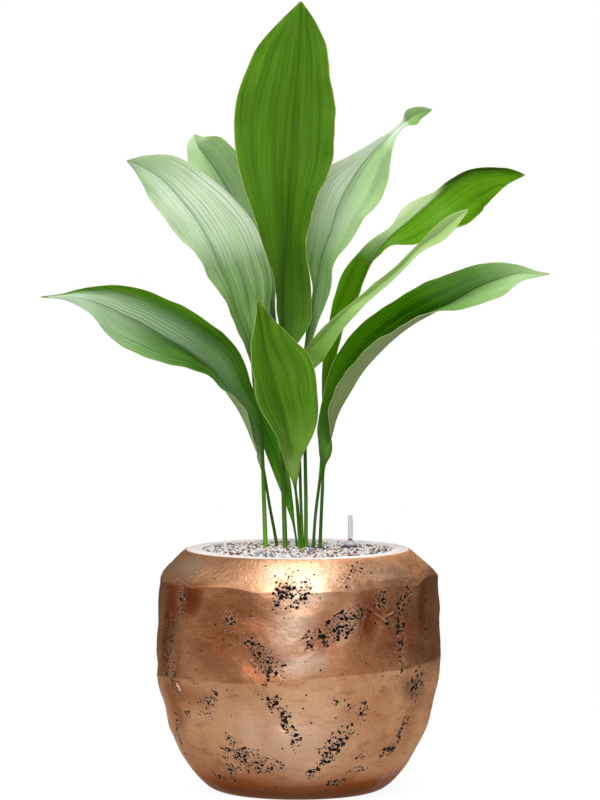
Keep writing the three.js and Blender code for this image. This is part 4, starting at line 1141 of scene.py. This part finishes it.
def leaf_material(name, look, seed):
    upper, dark, under = look["upper"], look["dark"], look["under"]
    light = [min(part * 1.25 + 8, 255) for part in upper]
    material, tree, shader = principled_material(name + "_tissue", 0.45)

    # Streaks of three widths run along the leaf, and thin lines mark its veins.
    across = attribute_value(tree, "across")
    along = attribute_value(tree, "along")
    broadness = attribute_value(tree, "broadness")
    broad_enough = between(broadness, 0.35, 0.8)
    from_middle = maths("ABSOLUTE", across)
    breadth = times(across, broadness)
    broad = streaks_along(breadth, along, 5, 1.5, seed)
    narrow = calmed(streaks_along(breadth, along, 24, 2.0, seed + 7, 1.0), broad_enough)
    fine = calmed(streaks_along(breadth, along, 60, 4.0, seed + 13, 1.0), broad_enough)
    sway = times(streaks_along(breadth, along, 3, 2.0, seed + 31), 3.0)
    vein_turns = plus(times(across, VEINS_PER_HALF), sway)
    lines = between(maths("PINGPONG", vein_turns, 0.5), 0.13, 0.0)
    lines = times(lines, broad_enough)
    line_patches = between(streaks_along(breadth, along, 3, 4.0, seed + 37), 0.4, 0.6)

    # Upper face: green with dark streaks, the waxy bloom and painted sheen over it, and the vein lines
    colour = mix_colours(between(broad, 0.4, 0.66), paint(*upper), paint(*dark))
    colour = tint(colour, between(narrow, 0.45, 0.65), dark, 0.5)
    uneven = plus(times(narrow, 0.9), times(broad, 0.5))
    cover = times(attribute_value(tree, "sheen_and_bloom"), plus(uneven, 0.3), True)
    # Pale waxy bloom, with painted sheen laid into it where the leaf catches the light.
    colour = tint(colour, cover, look["sheen_and_bloom"])
    broken_lines = times(lines, plus(times(line_patches, 0.6), 0.4))
    colour = tint(colour, broken_lines, look.get("vein", dark), look["lines"])

    # Under face, and what both faces share: fine streaks, painted shade in the groove along the midrib, the
    # pale midrib and the pale margins
    under_streaks = times(between(narrow, 0.42, 0.62), 0.45)
    under_colour = mix_colours(under_streaks, paint(*under), paint(*upper))
    colour = mix_colours(attribute_value(tree, "face"), under_colour, colour)
    colour = tint(colour, between(fine, 0.5, 0.7), light, 0.3)
    # Painted shade in the groove along the midrib.
    groove_shade = times(between(from_middle, 0.07, 0.0), between(along, 0.2, 0.5))
    colour = tint(colour, groove_shade, dark, 0.45)
    rib = times(between(from_middle, 0.022, 0.006), between(along, 0.5, 0.1))
    colour = tint(colour, rib, light, 0.5)
    colour = tint(colour, between(from_middle, 0.98, 0.998), DRY_MARGIN, 0.45)
    if "turned_tip" in look:
        turned_from, turned_colour = look["turned_tip"]
        turned = between(along, turned_from, turned_from + 0.02)
        colour = tint(colour, turned, turned_colour, 0.85)

    # The stalk, with painted shade on its sides and a painted highlight down its middle, brighter towards its
    # foot, and the dry end of the tip
    colour = tint(colour, between(along, 0.05, -0.02), STALK_GREEN_AND_SIDE_SHADE)
    # Painted highlight down the middle of the round stalk towards its foot; its sides keep the dark green as
    # painted shade.
    stalk_painted_highlight = times(between(along, -0.15, -0.6), between(from_middle, 0.75, 0.3))
    colour = tint(colour, stalk_painted_highlight, STALK_HIGHLIGHT_GREEN)
    dry_from = 1 - look["dry"]
    colour = tint(colour, between(along, dry_from, (dry_from + 1) / 2), DRY_TIP)
    feed(shader.inputs["Base Color"], colour)

    # Shine, the light that comes through where the blade is broad, and relief
    feed(shader.inputs["Roughness"], plus(times(narrow, 0.2), 0.36))
    feed(shader.inputs["Subsurface Weight"], times(broad_enough, 0.4))
    shader.inputs["Subsurface Radius"].default_value = (0.7, 1.0, 0.3)
    shader.inputs["Subsurface Scale"].default_value = 0.003
    shader.inputs["Specular IOR Level"].default_value = 0.12
    shader.inputs["Specular Tint"].default_value = paint(*LEAF_GLINT)
    relief = minus(times(narrow, 0.6), times(lines, 0.3))
    add_bump(shader, relief, 0.2, 0.0005)
    return material


for seed, (leaf_name, (stalk, blade, tip)) in enumerate(LEAF_SHAPES.items()):
    leaf = grow_leaf(leaf_name + "_grown", stalk, blade, tip, LEAF_LOOKS[leaf_name], seed)
    bpy.ops.object.shade_smooth_by_angle(angle=math.radians(70))
    leaf.data.materials.append(leaf_material(leaf_name, LEAF_LOOKS[leaf_name], seed))
    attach(leaf, "planter")
    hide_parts(leaf_name)

# Water level gauge
# A moulded grey cap lies on the gravel and holds a clear tube with two yellow marks. The red tip of
# the float's rod shows in the tube and rises with the water.

# Sizes are in millimetres.
GAUGE_X = 63
GAUGE_Y = 35
GAUGE_STEPS = 48
MARK_HEIGHTS = (305.3, 316.1)
MARK_HALF_HEIGHT = 0.7
MARK_HALF_WIDTH = 1.5
CAP_SHADE_HEIGHTS = (290.5, 286.8)
CLEAR_FOOT = (297.5, 295.5)
TIP_FOOT = (291.5, 292.5)
MARK_YELLOW = (232, 206, 96)
CAP_GREY = (168, 164, 178)
CAP_PALE_GREY = (200, 198, 208)
CAP_FOOT_PAINTED_SHADE = (84, 76, 92)
TUBE_WHITE = (252, 252, 252)
TUBE_PALE_GREY = (246, 246, 248)
TIP_RED = (204, 44, 30)
TIP_DARK_RED = (178, 32, 24)
ROD_WHITE = (232, 230, 226)


def turn_up(name, outline, closed):
    """Extrudes a circle ring by ring through the outline's radii and heights in millimetres."""
    first_radius, first_height = outline[0]
    bpy.ops.object.select_all(action="DESELECT")
    bpy.ops.mesh.primitive_circle_add(
        vertices=GAUGE_STEPS, radius=first_radius * MM, fill_type="NOTHING" if closed else "NGON",
        location=(GAUGE_X * MM, GAUGE_Y * MM, first_height * MM),
    )
    piece = bpy.context.object
    piece.name = name
    bpy.ops.object.transform_apply(location=True, rotation=True, scale=True)
    bpy.ops.object.mode_set(mode="EDIT")
    bpy.ops.mesh.select_all(action="SELECT")
    for (radius, height), (next_radius, next_height) in zip(outline, outline[1:]):
        rise = (next_height - height) * MM
        bpy.ops.mesh.extrude_edges_move(TRANSFORM_OT_translate={"value": (0, 0, rise)})
        ratio = next_radius / radius
        bpy.ops.transform.resize(value=(ratio, ratio, 1), center_override=(GAUGE_X * MM, GAUGE_Y * MM, 0))
    if closed:
        bpy.ops.mesh.select_all(action="DESELECT")
        bpy.ops.mesh.select_non_manifold()
        bpy.ops.mesh.bridge_edge_loops()
    else:
        bpy.ops.mesh.edge_face_add()
    bpy.ops.mesh.select_all(action="SELECT")
    bpy.ops.mesh.normals_make_consistent(inside=False)
    bpy.ops.object.mode_set(mode="OBJECT")
    bpy.ops.object.shade_smooth_by_angle(angle=math.radians(35))
    return piece


def place_along(tree, axis):
    """How far along an axis each point lies, in millimetres."""
    place = add_node(tree, "ShaderNodeSeparateXYZ", Vector=object_place(tree))
    return times(place.outputs[axis], 1 / MM)


def finish_gauge_piece(piece, material, body, node):
    piece.data.materials.append(material)
    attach(piece, body)
    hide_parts(node)


cap = turn_up("gauge_cap_and_guide", [
    (3, 227), (6.2, 227), (6.2, 285.8), (7.6, 285.8), (7.9, 286.2), (7.9, 287.4), (7.7, 288.4), (7.2, 289.4),
    (6.4, 290.3), (5.5, 291.0), (4.7, 291.7), (4.2, 292.6), (4.0, 293.4), (3.3, 293.4), (3.1, 293.2),
    (3.1, 289.5), (1.9, 289.5), (1.9, 287.5), (5.2, 285.5), (5.2, 229), (3, 229),
], True)
cap_plastic, cap_tree, cap_shader = principled_material("grey_moulded_plastic", 0.42)
cap_colour = mix_colours(object_noise(cap_tree, 240, 3), paint(*CAP_GREY), paint(*CAP_PALE_GREY))
# Painted shade: the cap darkens towards its lower edge.
cap_foot_shade = between(place_along(cap_tree, "Z"), *CAP_SHADE_HEIGHTS)
cap_colour = tint(cap_colour, cap_foot_shade, CAP_FOOT_PAINTED_SHADE)
feed(cap_shader.inputs["Base Color"], cap_colour)
add_bump(cap_shader, object_noise(cap_tree, 1800, 2), 0.15, 0.0002)
finish_gauge_piece(cap, cap_plastic, "planter", "gauge_body")

window = turn_up("gauge_window_tube", [
    (1.0, 323.5), (2.0, 323.5), (2.5, 323.3), (2.75, 322.9), (2.8, 322.4), (2.8, 289.8), (2.1, 289.8),
    (2.1, 321.2), (1.8, 321.6), (1.0, 321.7),
], False)
clear_plastic, clear_tree, clear_shader = principled_material("clear_tube_plastic", 0.22)
clear_height = place_along(clear_tree, "Z")
marks = 0.0
for mark_height in MARK_HEIGHTS:
    away = maths("ABSOLUTE", minus(clear_height, mark_height))
    mark = between(away, MARK_HALF_HEIGHT, MARK_HALF_HEIGHT * 0.6)
    marks = maths("MAXIMUM", mark, marks)
off_axis = maths("ABSOLUTE", minus(place_along(clear_tree, "X"), GAUGE_X))
marks = times(marks, between(off_axis, MARK_HALF_WIDTH, MARK_HALF_WIDTH * 2 / 3))
clear_clouds = object_noise(clear_tree, 300, 2)
clear_colour = mix_colours(clear_clouds, paint(*TUBE_WHITE), paint(*TUBE_PALE_GREY))
clear_colour = tint(clear_colour, marks, MARK_YELLOW)
feed(clear_shader.inputs["Base Color"], clear_colour)
milky = times(minus(1.0, marks, True), 0.5)
seen_through = maths("MAXIMUM", milky, between(clear_height, *CLEAR_FOOT))
feed(clear_shader.inputs["Transmission Weight"], seen_through)
clear_shader.inputs["IOR"].default_value = 1.2
finish_gauge_piece(window, clear_plastic, "planter", "gauge_window")

float_piece = turn_up("gauge_float_rod", [
    (3.7, 229.3), (4.4, 229.5), (4.7, 230.1), (4.7, 261.2), (4.4, 261.8), (3.7, 262), (1.4, 262),
    (1.1, 262.3), (1.1, 292.5), (1.6, 292.9), (1.6, 294.8), (1.4, 295.3), (0.9, 295.5),
], False)
float_plastic, float_tree, float_shader = principled_material("red_float_plastic", 0.4)
red_mix = mix_colours(object_noise(float_tree, 400, 2), paint(*TIP_RED), paint(*TIP_DARK_RED))
is_tip = between(place_along(float_tree, "Z"), *TIP_FOOT)
float_colour = mix_colours(is_tip, paint(*ROD_WHITE), red_mix)
feed(float_shader.inputs["Base Color"], float_colour)
finish_gauge_piece(float_piece, float_plastic, "float", "gauge_float")
